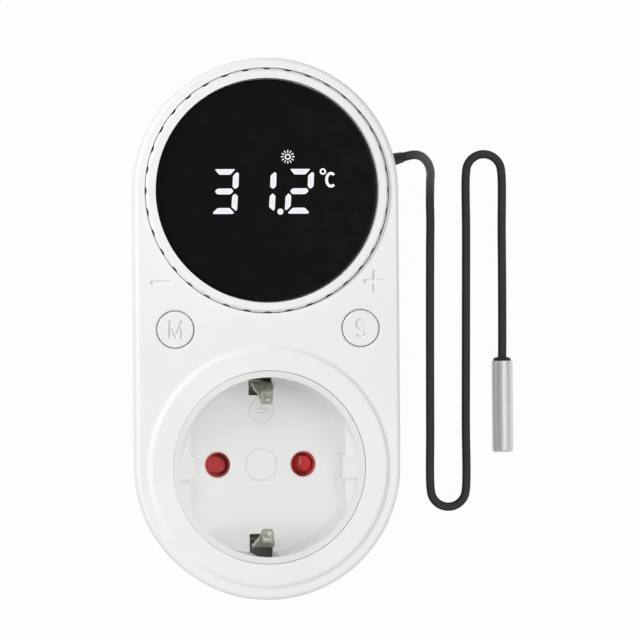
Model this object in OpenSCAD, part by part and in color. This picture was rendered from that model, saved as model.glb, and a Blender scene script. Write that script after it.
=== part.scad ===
// Plug-in temperature controller: a mains adapter with a round dial and display above a
// sunk socket, and a thin sensor lead. Lengths are millimetres. The origin is midway between
// the two plug pins on the plug's end face; +Z points out of the front face and +Y runs
// from the socket to the dial.

/* [Housing] */
// Room between the socket's cup and the housing's outside
side_room = 7.9; // [7.6:0.1:9]
// Distance between the centres of the housing's two round ends
end_gap = 60; // [59:0.5:66]
// Depth of the housing from its rear wall to its face
body_t = 38; // [37.5:0.1:42]
// Height of the front cover's side
cover_side = 8; // [6:0.1:9]
// Thickness of the side walls
wall = 1.9; // [1.6:0.05:1.95]
// Thickness of the front face
face_t = 2.2; // [1.6:0.1:2.6]
// Thickness of the rear wall
back_t = 2.2; // [1.8:0.1:2.6]
// Radius along the front edge
edge_r = 1; // [0.5:0.1:1.4]
// Radius along the rear edge
back_r = 1.5; // [1:0.1:1.6]
// Inward taper of the rear shell's sides, in degrees
side_taper = 4.5; // [2:0.1:5]
// Step back of the rear shell at the seam
seam_step = 0.2; // [0.1:0.05:0.4]
// Height of the raised ring round the socket
ring_h = 0.7; // [0.3:0.1:1]

/* [Dial] */
// Overlap of the front face over the dial's well
knob_lip = 0.25; // [0.1:0.05:0.4]
// Gap between the dial and its hole
knob_gap = 0.15; // [0.1:0.05:0.4]
// Height of the dial above the face
knob_proud = 1; // [0:0.1:1.2]
// Number of grip scallops round the dial
knob_scallops = 36; // [24:1:48]
// Depth of each grip scallop
scallop_depth = 0.3; // [0.2:0.05:0.4]
// Width of each grip scallop
scallop_w = 2; // [1.6:0.1:2.6]
// Chamfer round the dial's front edge
knob_chamfer = 0.6; // [0.3:0.1:0.8]
// Width of the dial's face round the lens
bezel_w = 2.15; // [2:0.05:3]
// Gap between the lens and the dial
lens_gap = 0.25; // [0.15:0.05:0.4]
// Thickness of the display lens
lens_t = 1.5; // [1.2:0.1:1.8]
// Depth of the lens below the dial's front edge
lens_drop = 1.6; // [1:0.1:1.8]
// Thickness of the dial's wall round its carrier
knob_wall = 2.8; // [2.6:0.1:3.2]
// Step from the carrier's side in to the gear's pitch circle
gear_inset = 1.54; // [1.4:0.02:1.8]
// Thickness of the gear inside the dial
gear_t = 3; // [2.4:0.1:3.2]

/* [Buttons] */
// Distance of each button's centre from the housing's side
button_inset = 8.6; // [8.2:0.1:9.4]
// Diameter of each button
button_d = 7.84; // [7:0.02:8.2]
// Gap between each button and its hole
button_gap = 0.18; // [0.1:0.02:0.3]
// Height of each button above the face
button_proud = 0.25; // [0:0.05:0.6]
// Travel of each button
button_travel = 0.6; // [0.3:0.1:0.8]
// Length of each stroke of the engraved plus and minus
sign_w = 4.6; // [3:0.1:5]
// Width of those strokes
sign_line = 0.8; // [0.5:0.05:1]
// Distance of the plus and minus from the housing's side
sign_inset = 5.6; // [5.2:0.1:6.4]
// Distance of the plus and minus from the buttons towards the dial
sign_rise = 10.2; // [9.4:0.1:10.8]

/* [Socket] */
// Diameter of the socket's well
well_d = 39; // [38.8:0.1:39.4]
// Depth of the socket's well
well_depth = 17.5; // [17:0.1:18]
// Thickness of the well's side
cup_wall = 1.4; // [1.2:0.05:1.6]
// Thickness of the well's floor
floor_t = 2; // [1.6:0.1:2.4]
// Distance between the two pin holes, and between the two plug pins
pin_pitch = 19; // [19:0.1:19.2]
// Diameter of the socket's pin holes
pin_hole_d = 5.6; // [5.4:0.1:5.8]
// Depth of the flat guide pads, from the well's side
pad_reach = 2.6; // [2.3:0.05:2.9]
// Depth of the pads' tops below the rim
pad_drop = 2.4; // [1.8:0.1:3]
// Width of the key in the middle of each pad
key_w = 5; // [4.4:0.1:5.2]
// Reach of each key in front of its pad
key_proud = 0.8; // [0.4:0.1:1]
// Depth of the keys' tops below the rim
key_drop = 1.2; // [0.8:0.1:1.6]
// Width of the slots that the earth clips come through
clip_slot_w = 5.2; // [5:0.1:5.6]
// Reach of those slots across the floor, from the well's side
clip_slot_reach = 4.2; // [4:0.1:4.6]

/* [Shutter] */
// Reach of the shutter's arms past the pins' axes
shutter_over = 3.9; // [3.6:0.1:4.2]
// Thickness of the shutter
shutter_t = 2.6; // [2.4:0.1:2.8]
// Half angle of each shutter arm, in degrees
shutter_half = 19; // [18:0.5:20]
// Radius of the pin on which the shutter turns
pivot_r = 1.9; // [1.6:0.05:2]
// Thickness of the plate under the shutter
plate_t = 1.6; // [1.4:0.1:1.8]

/* [Plug] */
// Play round the plug's body in a well of this size
plug_play = 1; // [0.8:0.05:1.2]
// Height of the plug's body
boss_h = 17; // [16.8:0.1:17.4]
// Thickness of the plug's end face
boss_face_t = 3; // [2.4:0.1:3.4]
// Thickness of the plug's side
boss_wall = 2.5; // [2.2:0.1:2.8]
// Diameter of each plug pin
pin_d = 4.8; // [4.7:0.05:4.85]
// Length of each plug pin
pin_len = 19; // [18.5:0.1:19.5]

/* [Earth strips and contacts] */
// Thickness of the earth strips
strip_t = 0.8; // [0.6:0.05:0.9]
// Width of the earth strips
strip_w = 4.4; // [4:0.1:4.6]
// Reach of the clips' noses from the well's side
nose_reach = 5.7; // [5.3:0.1:6]
// Depth of the clips' noses below the rim
nose_drop = 5; // [4.5:0.1:5.5]
// Thickness of the brass contacts
contact_t = 0.8; // [0.6:0.05:0.9]
// Gap between the two blades of each contact
contact_gap = 5; // [4.9:0.05:5.1]

/* [Boards] */
// Thickness of both circuit boards
board_t = 1.6; // [1.2:0.1:1.7]
// Gap between the power board's far end and the housing
power_end_gap = 1.2; // [0.6:0.1:2]

/* [Sensor lead] */
// Diameter of the sensor lead
cord_d = 2; // [1.8:0.05:2.2]
// Depth of the lead's exit below the display board
exit_drop = 4.05; // [3.9:0.05:5]
// Direction of the exit on the round end, in degrees
exit_angle = 13.5; // [12:0.5:15]
// Diameter of the steel probe
probe_d = 5; // [4.8:0.1:5.4]
// Length of the steel probe
probe_len = 21.5; // [20:0.5:23]

/* [Hidden] */
$fn = 96;

// Clearances, and the overrun of every cut
over = 1;
overlap = 0.5;
run_fit = 0.08;
seat_gap = 0.05;
free_gap = 0.3;

// Levels of the housing
well_r = well_d / 2;
cup_r = well_r + cup_wall;
body_r = cup_r + side_room;
z_back = boss_h;
z_floor_in = z_back + back_t;
z_face = z_back + body_t;
z_seam = z_face - cover_side;
z_under = z_face - face_t;
z_rim = z_face + ring_h;
z_well = z_rim - well_depth;
z_cup = z_well - floor_t;
cavity_r = body_r - wall;
ring_share = 0.645;
ring_r = cup_r + side_room * ring_share;
ring_slope_w = 1.6;
arc_steps = 6;
label_w = 34;
label_l = 44;
label_depth = 0.3;

// Levels of the dial, from its front edge down to the display board
knob_hole_r = cavity_r - knob_lip;
knob_r = knob_hole_r - knob_gap;
z_knob = z_face + knob_proud;
z_lens = z_knob - lens_drop;
z_lens_seat = z_lens - lens_t;
lens_r = knob_r - bezel_w - lens_gap;
carrier_r = knob_r - knob_wall - run_fit;
carrier_h = 5.6;
carrier_wall = 1.4;
carrier_floor_t = 1.4;
z_carrier = z_lens_seat - carrier_h;
z_gear_top = z_carrier - free_gap;
z_gear = z_gear_top - gear_t;
retainer_gap = 0.15;
retainer_t = 1.4;
z_retainer = z_gear - retainer_gap - retainer_t;
retainer_stand = 2;
z_display_board = z_retainer - retainer_stand - board_t;
z_display_top = z_display_board + board_t;

// Gear: inner teeth on the dial and a pinion on the encoder's shaft
knob_steep = 2;
ring_teeth = 48;
pinion_teeth = 12;
tooth_add_share = 0.8;
tooth_ded_share = 1.05;
tooth_pitch_share = 0.42;
tooth_tip_share = 0.26;
tooth_root_share = 0.6;
ring_pitch_r = carrier_r - gear_inset;
gear_m = 2 * ring_pitch_r / ring_teeth;
pinion_pitch_r = gear_m * pinion_teeth / 2;
gear_distance = ring_pitch_r - pinion_pitch_r;
ring_tip_r = ring_pitch_r - gear_m * tooth_add_share;
ring_root_r = ring_pitch_r + gear_m * tooth_ded_share;
encoder_y = end_gap - gear_distance;
encoder_w = 8.8;
encoder_base_t = 1.2;
encoder_can_r = 4.2;
encoder_can_h = 1.2;
encoder_shaft_r = 1.2;
encoder_hub_r = 2.4;

// Display module and its carrier
display_w_share = 0.747;
display_l_share = 0.374;
display_w = 2 * lens_r * display_w_share;
display_l = 2 * lens_r * display_l_share;
display_h = 8;
display_gap = 0.4;
display_leg_r = 0.3;
display_legs = 6;
display_leg_pitch = display_w / 7;
display_leg_in = 1.2;
lens_bevel = 0.5;
carrier_post_r = 2;
carrier_post_land = 1.35;
carrier_post_x = display_w * 0.36;
carrier_post_y = display_l / 2 + display_gap + carrier_post_r + carrier_post_land;

// Boards, and the posts that carry them
board_gap = 0.6;
display_board_r = cavity_r - tan(side_taper) * (z_seam - z_display_board) - board_gap;
display_board_reach = 4;
board_post_r = 2.4;
board_post_gap = 1.4;
board_post_in = 7.8;
board_post_x = body_r - board_post_in;
board_post_y = 10;
power_w = 2 * (board_post_x - board_post_r - board_post_gap);
screw_r = 0.9;
screw_head_r = 1.7;
screw_head_h = 1;
screw_bite = 5;
power_stand = 2;
z_power = z_floor_in + power_stand;
z_power_top = z_power + board_t;
power_reach = 33.5;
power_y = end_gap - power_reach;
power_len = power_reach + sqrt(pow(side_r(z_power) - wall, 2) - pow(power_w / 2, 2))
    - power_end_gap;
power_post_r = 2;
power_post_inset = 3.5;

// Screws that join the two shells: two beside the socket's far side, two below the buttons
housing_post_r = 2.1;
housing_boss_r = 1.65;
housing_screw_in = 6.8;
housing_screw_back = 10;
housing_screw_r = 0.95;
housing_head_r = 1.45;
housing_head_h = 1.4;
housing_screw_grip = 9;
housing_screw_short = 2.3;
housing_screw_len = housing_screw_grip + cover_side - face_t - housing_screw_short;
z_screw_seat = z_seam - housing_screw_grip;
slot_w = 0.45;
slot_depth = 0.6;

// Buttons and their switches
button_x = body_r - button_inset;
button_y = end_gap / 2;
sign_x = body_r - sign_inset;
sign_y = button_y + sign_rise;
display_board_y = button_y - display_board_reach;
button_hole_r = button_d / 2 + button_gap;
button_flange_w = 1;
button_flange_r = button_d / 2 + button_flange_w;
button_flange_t = 1.2;
button_stem_r = 1.6;
button_edge = 0.25;
hole_edge = 0.3;
tact_w = 6;
tact_h = 3.5;
tact_plunger_r = 1.7;
tact_plunger_up = 1.1;
tact_well = 1.1;
sign_depth = 0.4;

// Socket cup
pad_x = well_r - pad_reach;
cup_gap = 0.12;
cup_drop = 0.15;
hole_chamfer = 0.3;
cup_flange_w = 0.5;
cup_flange_t = 1.2;
rim_h = 1.6;
cup_leg_r = 1.6;
cup_leg_inset = 3.5;
cup_leg_reach = well_r - cup_leg_inset;
stake_r = 0.8;
stake_head_r = 1.3;
stake_head_t = 0.5;
shutter_play = 0.2;
z_shutter_top = z_cup - shutter_play;
z_shutter = z_shutter_top - shutter_t;
z_plate_top = z_shutter - shutter_play;
z_plate = z_plate_top - plate_t;
shutter_r = pin_pitch / 2 + shutter_over;
shutter_hub_r = 4.6;
shutter_pocket_r = 2.35;
shutter_pocket_deep = 1.6;
shutter_pad_r = 1.7;
shutter_pad_x = 0.25;
shutter_pad_drop = 0.45;
shutter_pad_tilt = 9;
shutter_ramp_x = 0.3;
shutter_ramp_tilt = 20;
spring_wire_r = 0.2;
spring_r = 2.75;
spring_turns = 2;
spring_room_r = 3.5;
spring_room_h = 1.3;
plate_land = 1.8;
plate_r = cup_leg_reach + plate_land;

// Plug body
boss_r = well_r - plug_play;
boss_flat = pad_x - free_gap;
boss_key_w = key_w + 2 * free_gap;
boss_key_x = boss_flat - key_proud - free_gap;
boss_edge = 0.8;
sleeve_r = 4.6;
sleeve_room_r = 3.75;
z_sleeve_shelf = 12;
sleeve_proud = 0.5;
z_sleeve = z_back + sleeve_proud;
earth_hole_r = 3.1;
earth_hole_in = 8.5;
earth_hole_y = boss_r - earth_hole_in;
pin_r = pin_d / 2;
pin_tip_r = 1.1;
shank_r = 2.2;
shank_out = 0.4;
pin_flange_r = 3.6;
pin_flange_t = 1.2;
pin_stub_r = 1.6;
stub_proud = 0.5;

// Earth strips: the outline of the bent strip, from the plug's side to the clip's free end
nose_y = well_r - nose_reach;
strip_in = 1.2;
strip_y = boss_r - strip_in;
strip_z0 = 2.5;
strip_bend_drop = 12;
strip_end_drop = 3.4;
strip_shoulder_drop = 10;
strip_end_in = 3.2;
strip_end_y = well_r - strip_end_in;
strip_neck_w = 2.2;
strip_nose_w = 2.7;
strip_groove_gap = 0.1;
bridge_w = 4;
z_bridge = (z_floor_in + z_plate) / 2;
bridge_flap = 3;

// Contacts
blade_w = 5;
contact_base_l = 7;
contact_base_w = contact_gap + 2 * contact_t;
blade_top_gap = 0.5;
z_blade_top = z_plate - blade_top_gap - stake_head_t;
tab_share = 0.66;
tab_low_share = 0.13;
tab_low = (z_plate - z_power_top) * tab_low_share;
tab_h = (z_plate - z_power_top) * tab_share - tab_low;
tab_on = 6;
tab_end = power_y + tab_on;
tab_foot = 3;
link_w = 4;
link_gap = 0.7;
link_share = 0.25;
link_up = (z_plate - z_power_top) * link_share;
link_rise_y = sqrt(pow(boss_r - boss_wall, 2) - pow((pin_pitch + link_w) / 2, 2))
    - contact_t - link_gap;
z_link = z_sleeve_shelf + pin_flange_t;
z_link_top = z_power_top + link_up;

// Parts on the power board: place from the dial's centre, plan size, and height as a share
// of the room under the display board
part_room = z_display_board - z_power_top;
relay_place = [-3.5, 6];
relay_plan = [24, 12.5];
relay_share = 0.866;
film_place = [-6, -7];
film_plan = [18, 6.5];
film_share = 0.72;
can_place = [10.5, -7];
can_r = 4;
can_share = 0.754;
varistor_place = [-9, -17];
varistor_share = 0.295;
varistor_r = part_room * varistor_share;
varistor_t = 4;
fuse_place = [9, -17];
fuse_plan = [8.2, 4];
fuse_share = 0.5;
fuse_edge = 0.8;
header_place = [0, 15];
header_plan = [10, 2.2];
chip_w = 7;
chip_t = 1;
chip_rise = 3;
leg_r = 0.4;

// Sensor lead: gland, cord and probe
z_ground = -pin_len;
cord_r = cord_d / 2;
cord_sides = 8;
exit_z = z_display_board - exit_drop;
exit_r = body_r - seam_step - tan(side_taper) * (z_seam - exit_z);
gland_out = 6;
gland_r = 1.8;
gland_tip_r = 1.15;
gland_gap = 0.05;
gland_flange_r = 2.8;
gland_flange_t = 0.8;
gland_flange_back = 0.6;
probe_r = probe_d / 2;
probe_wall = 0.35;
probe_end_r = 0.5;
probe_mouth = 0.3;
ring_gap_max = 3 * cord_d;
gland_end = exit_r + gland_out;
cord_start = [gland_end * cos(exit_angle), end_gap + gland_end * sin(exit_angle), exit_z];
// The lead's route after the gland: down to the ground, along it in two loops, up to the probe
z_lead = z_ground + cord_r;
loop_r = 4.2;
loop_low_place = [21.8, -8.4];
loop_high_place = [30.8, 6.2];
loop_low = [body_r, 0] + loop_low_place;
loop_high = [body_r, end_gap] + loop_high_place;
loop_steps = 7;
cord_drop_places = [[5.7, 8.3], [7.4, 8.5], [9.3, 8.3], [11.2, 7.8], [13, 7.1], [14.5, 6.3],
    [15.8, 5.4], [16.7, 4], [17.4, 1.8], [17.8, -1.2], [18, -4.6]];
cord_drop_shares = [0.983, 0.938, 0.852, 0.725, 0.583, 0.438, 0.296, 0.171, 0.075, 0.019, 0];
cord_drop = [for (i = [0:len(cord_drop_places) - 1]) [body_r + cord_drop_places[i][0],
    end_gap + cord_drop_places[i][1], z_lead + cord_drop_shares[i] * (exit_z - z_lead)]];
probe_reach = 34.6;
probe_y = 21.7;
probe_top = [body_r + probe_reach, probe_y, z_ground + probe_r];
cord_rise_places = [[0.4, 16.3, -1.5], [0.3, 9.3, -1.1], [0.1, 3.3, -0.2]];
cord_rise = [for (place = cord_rise_places) probe_top + place];
cord_route = concat(cord_drop,
    [for (p = arc(loop_low, loop_r, 180, 360, loop_steps)) [p[0], p[1], z_lead]],
    [for (p = arc(loop_high, loop_r, 180, 0, loop_steps)) [p[0], p[1], z_lead]],
    cord_rise);

// Height of the tapered side at a level, from the housing's own centre line
function side_r(z) = body_r - seam_step - tan(side_taper) * (z_seam - z);

// Points on an arc about c, from angle a to angle b
function arc(c, r, a, b, n) =
    [for (i = [0:n]) c + r * [cos(a + (b - a) * i / n), sin(a + (b - a) * i / n)]];

// Route with extra points where two neighbours lie further apart than the largest ring gap
function dense(p, gap) = [for (i = [0:len(p) - 1]) each
    i == len(p) - 1 ? [p[i]] :
    let (n = max(1, ceil(norm(p[i + 1] - p[i]) / gap)))
    [for (k = [0:n - 1]) p[i] + (p[i + 1] - p[i]) * k / n]];

function unit(v) = v / norm(v);
function across(v) = v - [0, 0, v[2]] == [0, 0, 0] ? [1, 0, 0] : unit([-v[1], v[0], 0]);

// Direction of the route at point i
function along(p, i) = unit(p[min(i + 1, len(p) - 1)] - p[max(i - 1, 0)]);

// One ring of points about point i of the route
function ring(p, i, r, sides, last) = let (d = along(p, i), s = across(d), t = cross(d, s))
    [for (k = [0:sides - 1]) p[i] + r * (cos(360 * k / sides) * s + sin(360 * k / sides) * t)];

// Tube of one radius along a route, closed at both ends
module swept_tube(p, r, sides) {
    n = len(p);
    points = [for (i = [0:n - 1]) each ring(p, i, r, sides)];
    sides_faces = [for (i = [0:n - 2]) for (k = [0:sides - 1])
        let (a = i * sides + k, b = i * sides + (k + 1) % sides)
        each [[a, a + sides, b], [b, a + sides, b + sides]]];
    ends = [for (k = [1:sides - 2]) each
        [[0, k, k + 1], [(n - 1) * sides, (n - 1) * sides + k + 1, (n - 1) * sides + k]]];
    polyhedron(points = points, faces = concat(sides_faces, ends));
}

// Solid with the housing's long round outline, from half a section in the x and z plane
module long_round() {
    translate([0, end_gap, 0]) rotate_extrude(angle = 180) children();
    translate([0, end_gap, 0]) rotate([90, 0, 0]) linear_extrude(end_gap) {
        children();
        mirror([1, 0]) children();
    }
    rotate([0, 0, 180]) rotate_extrude(angle = 180) children();
}

// Copies to the left and to the right
module both_sides() {
    children();
    mirror([1, 0, 0]) children();
}

module box_at(centre, size, z) {
    translate([centre[0] - size[0] / 2, centre[1] - size[1] / 2, z]) cube(size);
}

// Cross-shaped recess of a screw head
module cross_slot(head_r, z0, z1) {
    for (turn = [0, 90]) rotate(turn) translate([-head_r * 2 / 3, -slot_w / 2, z0])
        cube([head_r * 4 / 3, slot_w, z1 - z0]);
}

// Places of the four screws that join the shells
module housing_screw_places() {
    reach = cup_r + cup_flange_w + housing_boss_r;
    both_sides() rotate(-45) translate([reach, 0]) children();
    both_sides() translate([body_r - housing_screw_in, button_y - housing_screw_back]) children();
}

module disc(r, z0, z1) {
    translate([0, 0, z0]) cylinder(r = r, h = z1 - z0);
}

// Half section of the front cover's outside, with its rounded front edge
module cover_section() {
    translate([0, z_seam]) square([body_r, cover_side - edge_r]);
    translate([0, z_seam]) square([body_r - edge_r, cover_side]);
    translate([body_r - edge_r, z_face - edge_r]) circle(edge_r);
}

// Half section of the rear shell's outside: tapered sides and a rounded rear edge
module rear_section() {
    edge_z = z_back + back_r;
    edge_x = side_r(edge_z) - back_r / cos(side_taper);
    polygon([[0, z_back], [edge_x, z_back],
        [edge_x + back_r * cos(side_taper), edge_z - back_r * sin(side_taper)],
        [side_r(z_seam), z_seam], [0, z_seam]]);
    translate([edge_x, edge_z]) circle(back_r);
}

// Soft slope of the raised ring, an S of two arcs
module ring_section() {
    turn = 2 * atan(ring_h / ring_slope_w);
    bend = ring_slope_w / (2 * sin(turn));
    low = arc([ring_r + ring_slope_w / 2, z_face + bend], bend, -90, -90 - turn, arc_steps);
    high = arc([ring_r - ring_slope_w / 2, z_rim - bend], bend, 90 - turn, 90, arc_steps);
    polygon(concat([[0, z_under], [ring_r + ring_slope_w / 2, z_under]], low, high,
        [[0, z_rim]]));
}

module front_cover() color("white") difference() {
    union() {
        difference() {
            long_round() cover_section();
            long_round() translate([0, z_seam - over]) square([cavity_r, cover_side - face_t + over]);
        }
        rotate_extrude() ring_section();
        housing_screw_places()
            disc(housing_boss_r, z_seam, z_under + overlap);
    }
    translate([0, end_gap]) disc(knob_hole_r, z_seam, z_face + over);
    disc(cup_r + cup_gap, z_seam, z_rim + over);
    both_sides() translate([button_x, button_y]) {
        disc(button_hole_r, z_seam, z_face + over);
        translate([0, 0, z_face - hole_edge])
            cylinder(r1 = button_hole_r, r2 = button_hole_r + 2 * hole_edge, h = 2 * hole_edge);
    }
    both_sides() box_at([sign_x, sign_y], [sign_w, sign_line, over], z_face - sign_depth);
    box_at([sign_x, sign_y], [sign_line, sign_w, over], z_face - sign_depth);
    housing_screw_places()
        disc(housing_screw_r + seat_gap, z_seam - over, z_under);
}

// Outline of the plug's body: round, with a flat and a key groove on each side
module boss_outline(r, flat, groove_w, groove_x) {
    difference() {
        intersection() {
            circle(r);
            square([2 * flat, 2 * r + over], center = true);
        }
        both_sides() translate([groove_x, -groove_w / 2]) square([r, groove_w]);
    }
}

module plug_boss() {
    linear_extrude(z_back + overlap) boss_outline(boss_r, boss_flat, boss_key_w, boss_key_x);
}

module boss_room() {
    translate([0, 0, boss_face_t]) linear_extrude(z_back)
        boss_outline(boss_r - boss_wall, boss_flat - boss_wall,
            boss_key_w + 2 * boss_wall, boss_key_x - boss_wall);
}

module pin_sleeves() {
    both_sides() translate([pin_pitch / 2, 0]) disc(sleeve_r, boss_face_t - over, z_sleeve);
}

module pin_sleeve_holes() {
    both_sides() translate([pin_pitch / 2, 0]) {
        disc(shank_r + seat_gap, -over, z_sleeve_shelf + over);
        disc(sleeve_room_r, z_sleeve_shelf, z_sleeve + over);
    }
    translate([-pin_pitch / 2, 0]) translate([-link_w / 2 - seat_gap, 0, z_sleeve_shelf])
        cube([link_w + 2 * seat_gap, sleeve_r + over, z_sleeve]);
}

// Grooves for the earth strips down the plug's sides and through the rear wall
module strip_grooves() {
    for (side = [1, -1]) scale([1, side, 1])
        translate([-strip_w / 2 - strip_groove_gap, strip_y - strip_groove_gap,
            strip_z0 - strip_groove_gap])
            cube([strip_w + 2 * strip_groove_gap, boss_r - strip_y + over,
                z_back - strip_z0 + strip_groove_gap]);
    for (side = [1, -1]) scale([1, side, 1])
        translate([-strip_w / 2 - strip_groove_gap, strip_y - strip_groove_gap, z_back - over])
            cube([strip_w + 2 * strip_groove_gap, strip_t + 2 * strip_groove_gap,
                back_t + 2 * over]);
}

module gland_place() {
    translate([0, end_gap, exit_z]) rotate([0, 0, exit_angle]) rotate([0, 90, 0]) children();
}

module board_posts() {
    for (side = [1, -1]) both_sides() translate([board_post_x, end_gap + side * board_post_y])
        children();
}

module power_posts() {
    for (y = [power_y + power_post_inset, power_y + power_len - power_post_inset])
        both_sides() translate([power_w / 2 - power_post_inset, y]) children();
}

module rear_shell() color("whitesmoke") difference() {
    union() {
        difference() {
            union() {
                long_round() rear_section();
                plug_boss();
            }
            long_round() polygon([[0, z_floor_in], [side_r(z_floor_in) - wall, z_floor_in],
                [side_r(z_seam) - wall, z_seam], [side_r(z_seam) - wall, z_seam + over],
                [0, z_seam + over]]);
            boss_room();
        }
        pin_sleeves();
        housing_screw_places()
            disc(housing_post_r, z_floor_in - back_t / 4, z_seam);
        board_posts() disc(board_post_r, z_floor_in - back_t / 4, z_display_board);
        power_posts() disc(power_post_r, z_floor_in - back_t / 4, z_power);
    }
    pin_sleeve_holes();
    strip_grooves();
    translate([0, end_gap]) disc(knob_r + free_gap, z_retainer - free_gap, z_seam + over);
    translate([0, earth_hole_y]) disc(earth_hole_r, -over, boss_face_t + over);
    box_at([0, end_gap - label_l / 8], [label_w, label_l, label_depth + over], z_back - over);
    housing_screw_places() {
        disc(housing_head_r + seat_gap, z_back - over, z_screw_seat);
        disc(housing_screw_r + seat_gap, z_back, z_seam + over);
    }
    board_posts() disc(screw_r + seat_gap, z_display_board - screw_bite - over,
        z_display_board + over);
    gland_place() disc(gland_r + gland_gap, exit_r - wall - over, exit_r + over);
}

// Outline of the dial: a circle with shallow grip scallops
module knob_outline() {
    half = scallop_w / 2;
    cut_r = (half * half + scallop_depth * scallop_depth) / (2 * scallop_depth);
    difference() {
        circle(knob_r);
        for (i = [0:knob_scallops - 1]) rotate(360 * i / knob_scallops)
            translate([knob_r - scallop_depth + cut_r, 0]) circle(cut_r);
    }
}

// One tooth as an outline along x, thick at its root and thin at its tip
module tooth(pitch_r, tip_r, root_r, sign) {
    pitch = PI * gear_m;
    tip = pitch * tooth_tip_share / 2;
    mid = pitch * tooth_pitch_share / 2;
    root = pitch * tooth_root_share / 2;
    deep = root_r + sign * gear_m / 4;
    polygon([[tip_r, -tip], [pitch_r, -mid], [root_r, -root], [deep, -root],
        [deep, root], [root_r, root], [pitch_r, mid], [tip_r, tip]]);
}

module ring_gear_outline() {
    difference() {
        circle(ring_root_r + gear_m / 2);
        circle(ring_root_r);
    }
    for (i = [0:ring_teeth - 1]) rotate(360 * i / ring_teeth)
        tooth(ring_pitch_r, ring_tip_r, ring_root_r, 1);
}

module pinion_outline() {
    root_r = pinion_pitch_r - gear_m * tooth_ded_share;
    circle(root_r);
    for (i = [0:pinion_teeth - 1]) rotate(360 * (i + 0.5) / pinion_teeth)
        tooth(pinion_pitch_r, pinion_pitch_r + gear_m * tooth_add_share, root_r, -1);
}

module knob_ring() color("white") translate([0, end_gap]) {
    difference() {
        intersection() {
            translate([0, 0, z_gear]) linear_extrude(z_knob - z_gear) knob_outline();
            rotate_extrude() polygon([[0, z_gear], [knob_r + over, z_gear],
                [knob_r + over, z_knob - (knob_chamfer + over) * knob_steep],
                [knob_r - knob_chamfer, z_knob],
                [0, z_knob]]);
        }
        disc(ring_root_r + gear_m / 4, z_gear - over, z_gear_top + over);
        disc(carrier_r + run_fit, z_gear_top, z_knob + over);
        disc(lens_r + lens_gap, z_lens_seat - free_gap, z_knob + over);
    }
    translate([0, 0, z_gear]) linear_extrude(gear_t) ring_gear_outline();
}

module knob_retainer() color("gainsboro") difference() {
    union() {
        translate([0, end_gap]) disc(side_r(z_retainer) - wall - free_gap, z_retainer,
            z_retainer + retainer_t);
        board_posts() disc(board_post_r, z_display_top, z_retainer + retainer_t / 2);
    }
    translate([0, end_gap]) disc(ring_tip_r, z_retainer - over, z_retainer + retainer_t + over);
    board_posts() {
        disc(screw_r + seat_gap, z_display_board, z_retainer + retainer_t + over);
        disc(screw_head_r + seat_gap, z_retainer + retainer_t - screw_head_h,
            z_retainer + retainer_t + over);
    }
}

module display_lens() color("black") translate([0, end_gap]) {
    disc(lens_r, z_lens_seat, z_lens - lens_bevel);
    translate([0, 0, z_lens - lens_bevel])
        cylinder(r1 = lens_r, r2 = lens_r - lens_bevel, h = lens_bevel);
}

module carrier_posts() {
    for (side = [1, -1]) both_sides()
        translate([carrier_post_x, end_gap + side * carrier_post_y]) children();
}

module display_carrier() color("dimgray") difference() {
    union() {
        translate([0, end_gap]) difference() {
            disc(carrier_r, z_carrier, z_lens_seat);
            disc(carrier_r - carrier_wall, z_carrier + carrier_floor_t, z_lens_seat + over);
        }
        carrier_posts() disc(carrier_post_r, z_display_top, z_carrier + carrier_floor_t / 2);
    }
    box_at([0, end_gap], [display_w + 2 * display_gap, display_l + 2 * display_gap,
        2 * over + carrier_h], z_carrier - over);
    carrier_posts() disc(screw_r + seat_gap, z_display_top - over, z_display_top + screw_bite);
}

module led_display() color("darkslategray") {
    z_module = z_lens_seat - free_gap - display_h;
    box_at([0, end_gap], [display_w, display_l, display_h], z_module);
    for (i = [0:display_legs - 1]) for (side = [1, -1])
        translate([(i - (display_legs - 1) / 2) * display_leg_pitch,
            end_gap + side * (display_l / 2 - display_leg_in)])
            disc(display_leg_r, z_display_top, z_module);
}

module display_board() color("darkgreen") difference() {
    translate([0, 0, z_display_board]) linear_extrude(board_t) {
        translate([0, end_gap]) circle(display_board_r);
        translate([-display_board_r, display_board_y])
            square([2 * display_board_r, end_gap - display_board_y]);
    }
    board_posts() disc(screw_r + seat_gap, z_display_board - over, z_display_top + over);
    carrier_posts() disc(screw_r + seat_gap, z_display_board - over, z_display_top + over);
}

module control_chip() color("black") {
    box_at([0, button_y + chip_rise], [chip_w, chip_w, chip_t], z_display_top);
}

module encoder_body() color("silver") translate([0, encoder_y]) difference() {
    union() {
        box_at([0, 0], [encoder_w, encoder_w, encoder_base_t], z_display_top);
        disc(encoder_can_r, z_display_top, z_display_top + encoder_base_t + encoder_can_h);
    }
    disc(encoder_shaft_r + run_fit, z_display_top + encoder_base_t / 2, z_gear);
}

module encoder_pinion() color("ivory") translate([0, encoder_y]) {
    translate([0, 0, z_gear]) linear_extrude(gear_t) pinion_outline();
    disc(encoder_hub_r, z_gear - retainer_gap, z_gear);
    disc(encoder_shaft_r, z_display_top + encoder_base_t / 2 + run_fit, z_gear);
}

// One push button: cap, flange under the face, and stem down to its switch
module button() translate([button_x, button_y]) {
    z_cap = z_face + button_proud;
    disc(button_d / 2, z_under - free_gap, z_cap - button_edge);
    translate([0, 0, z_cap - button_edge])
        cylinder(r1 = button_d / 2, r2 = button_d / 2 - button_edge, h = button_edge);
    disc(button_flange_r, z_under - free_gap - button_flange_t, z_under - free_gap);
    disc(button_stem_r, z_display_top + tact_h + tact_plunger_up,
        z_under - free_gap - button_flange_t);
}

module button_m() color("white") mirror([1, 0, 0]) button();
module button_s() color("white") button();

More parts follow.
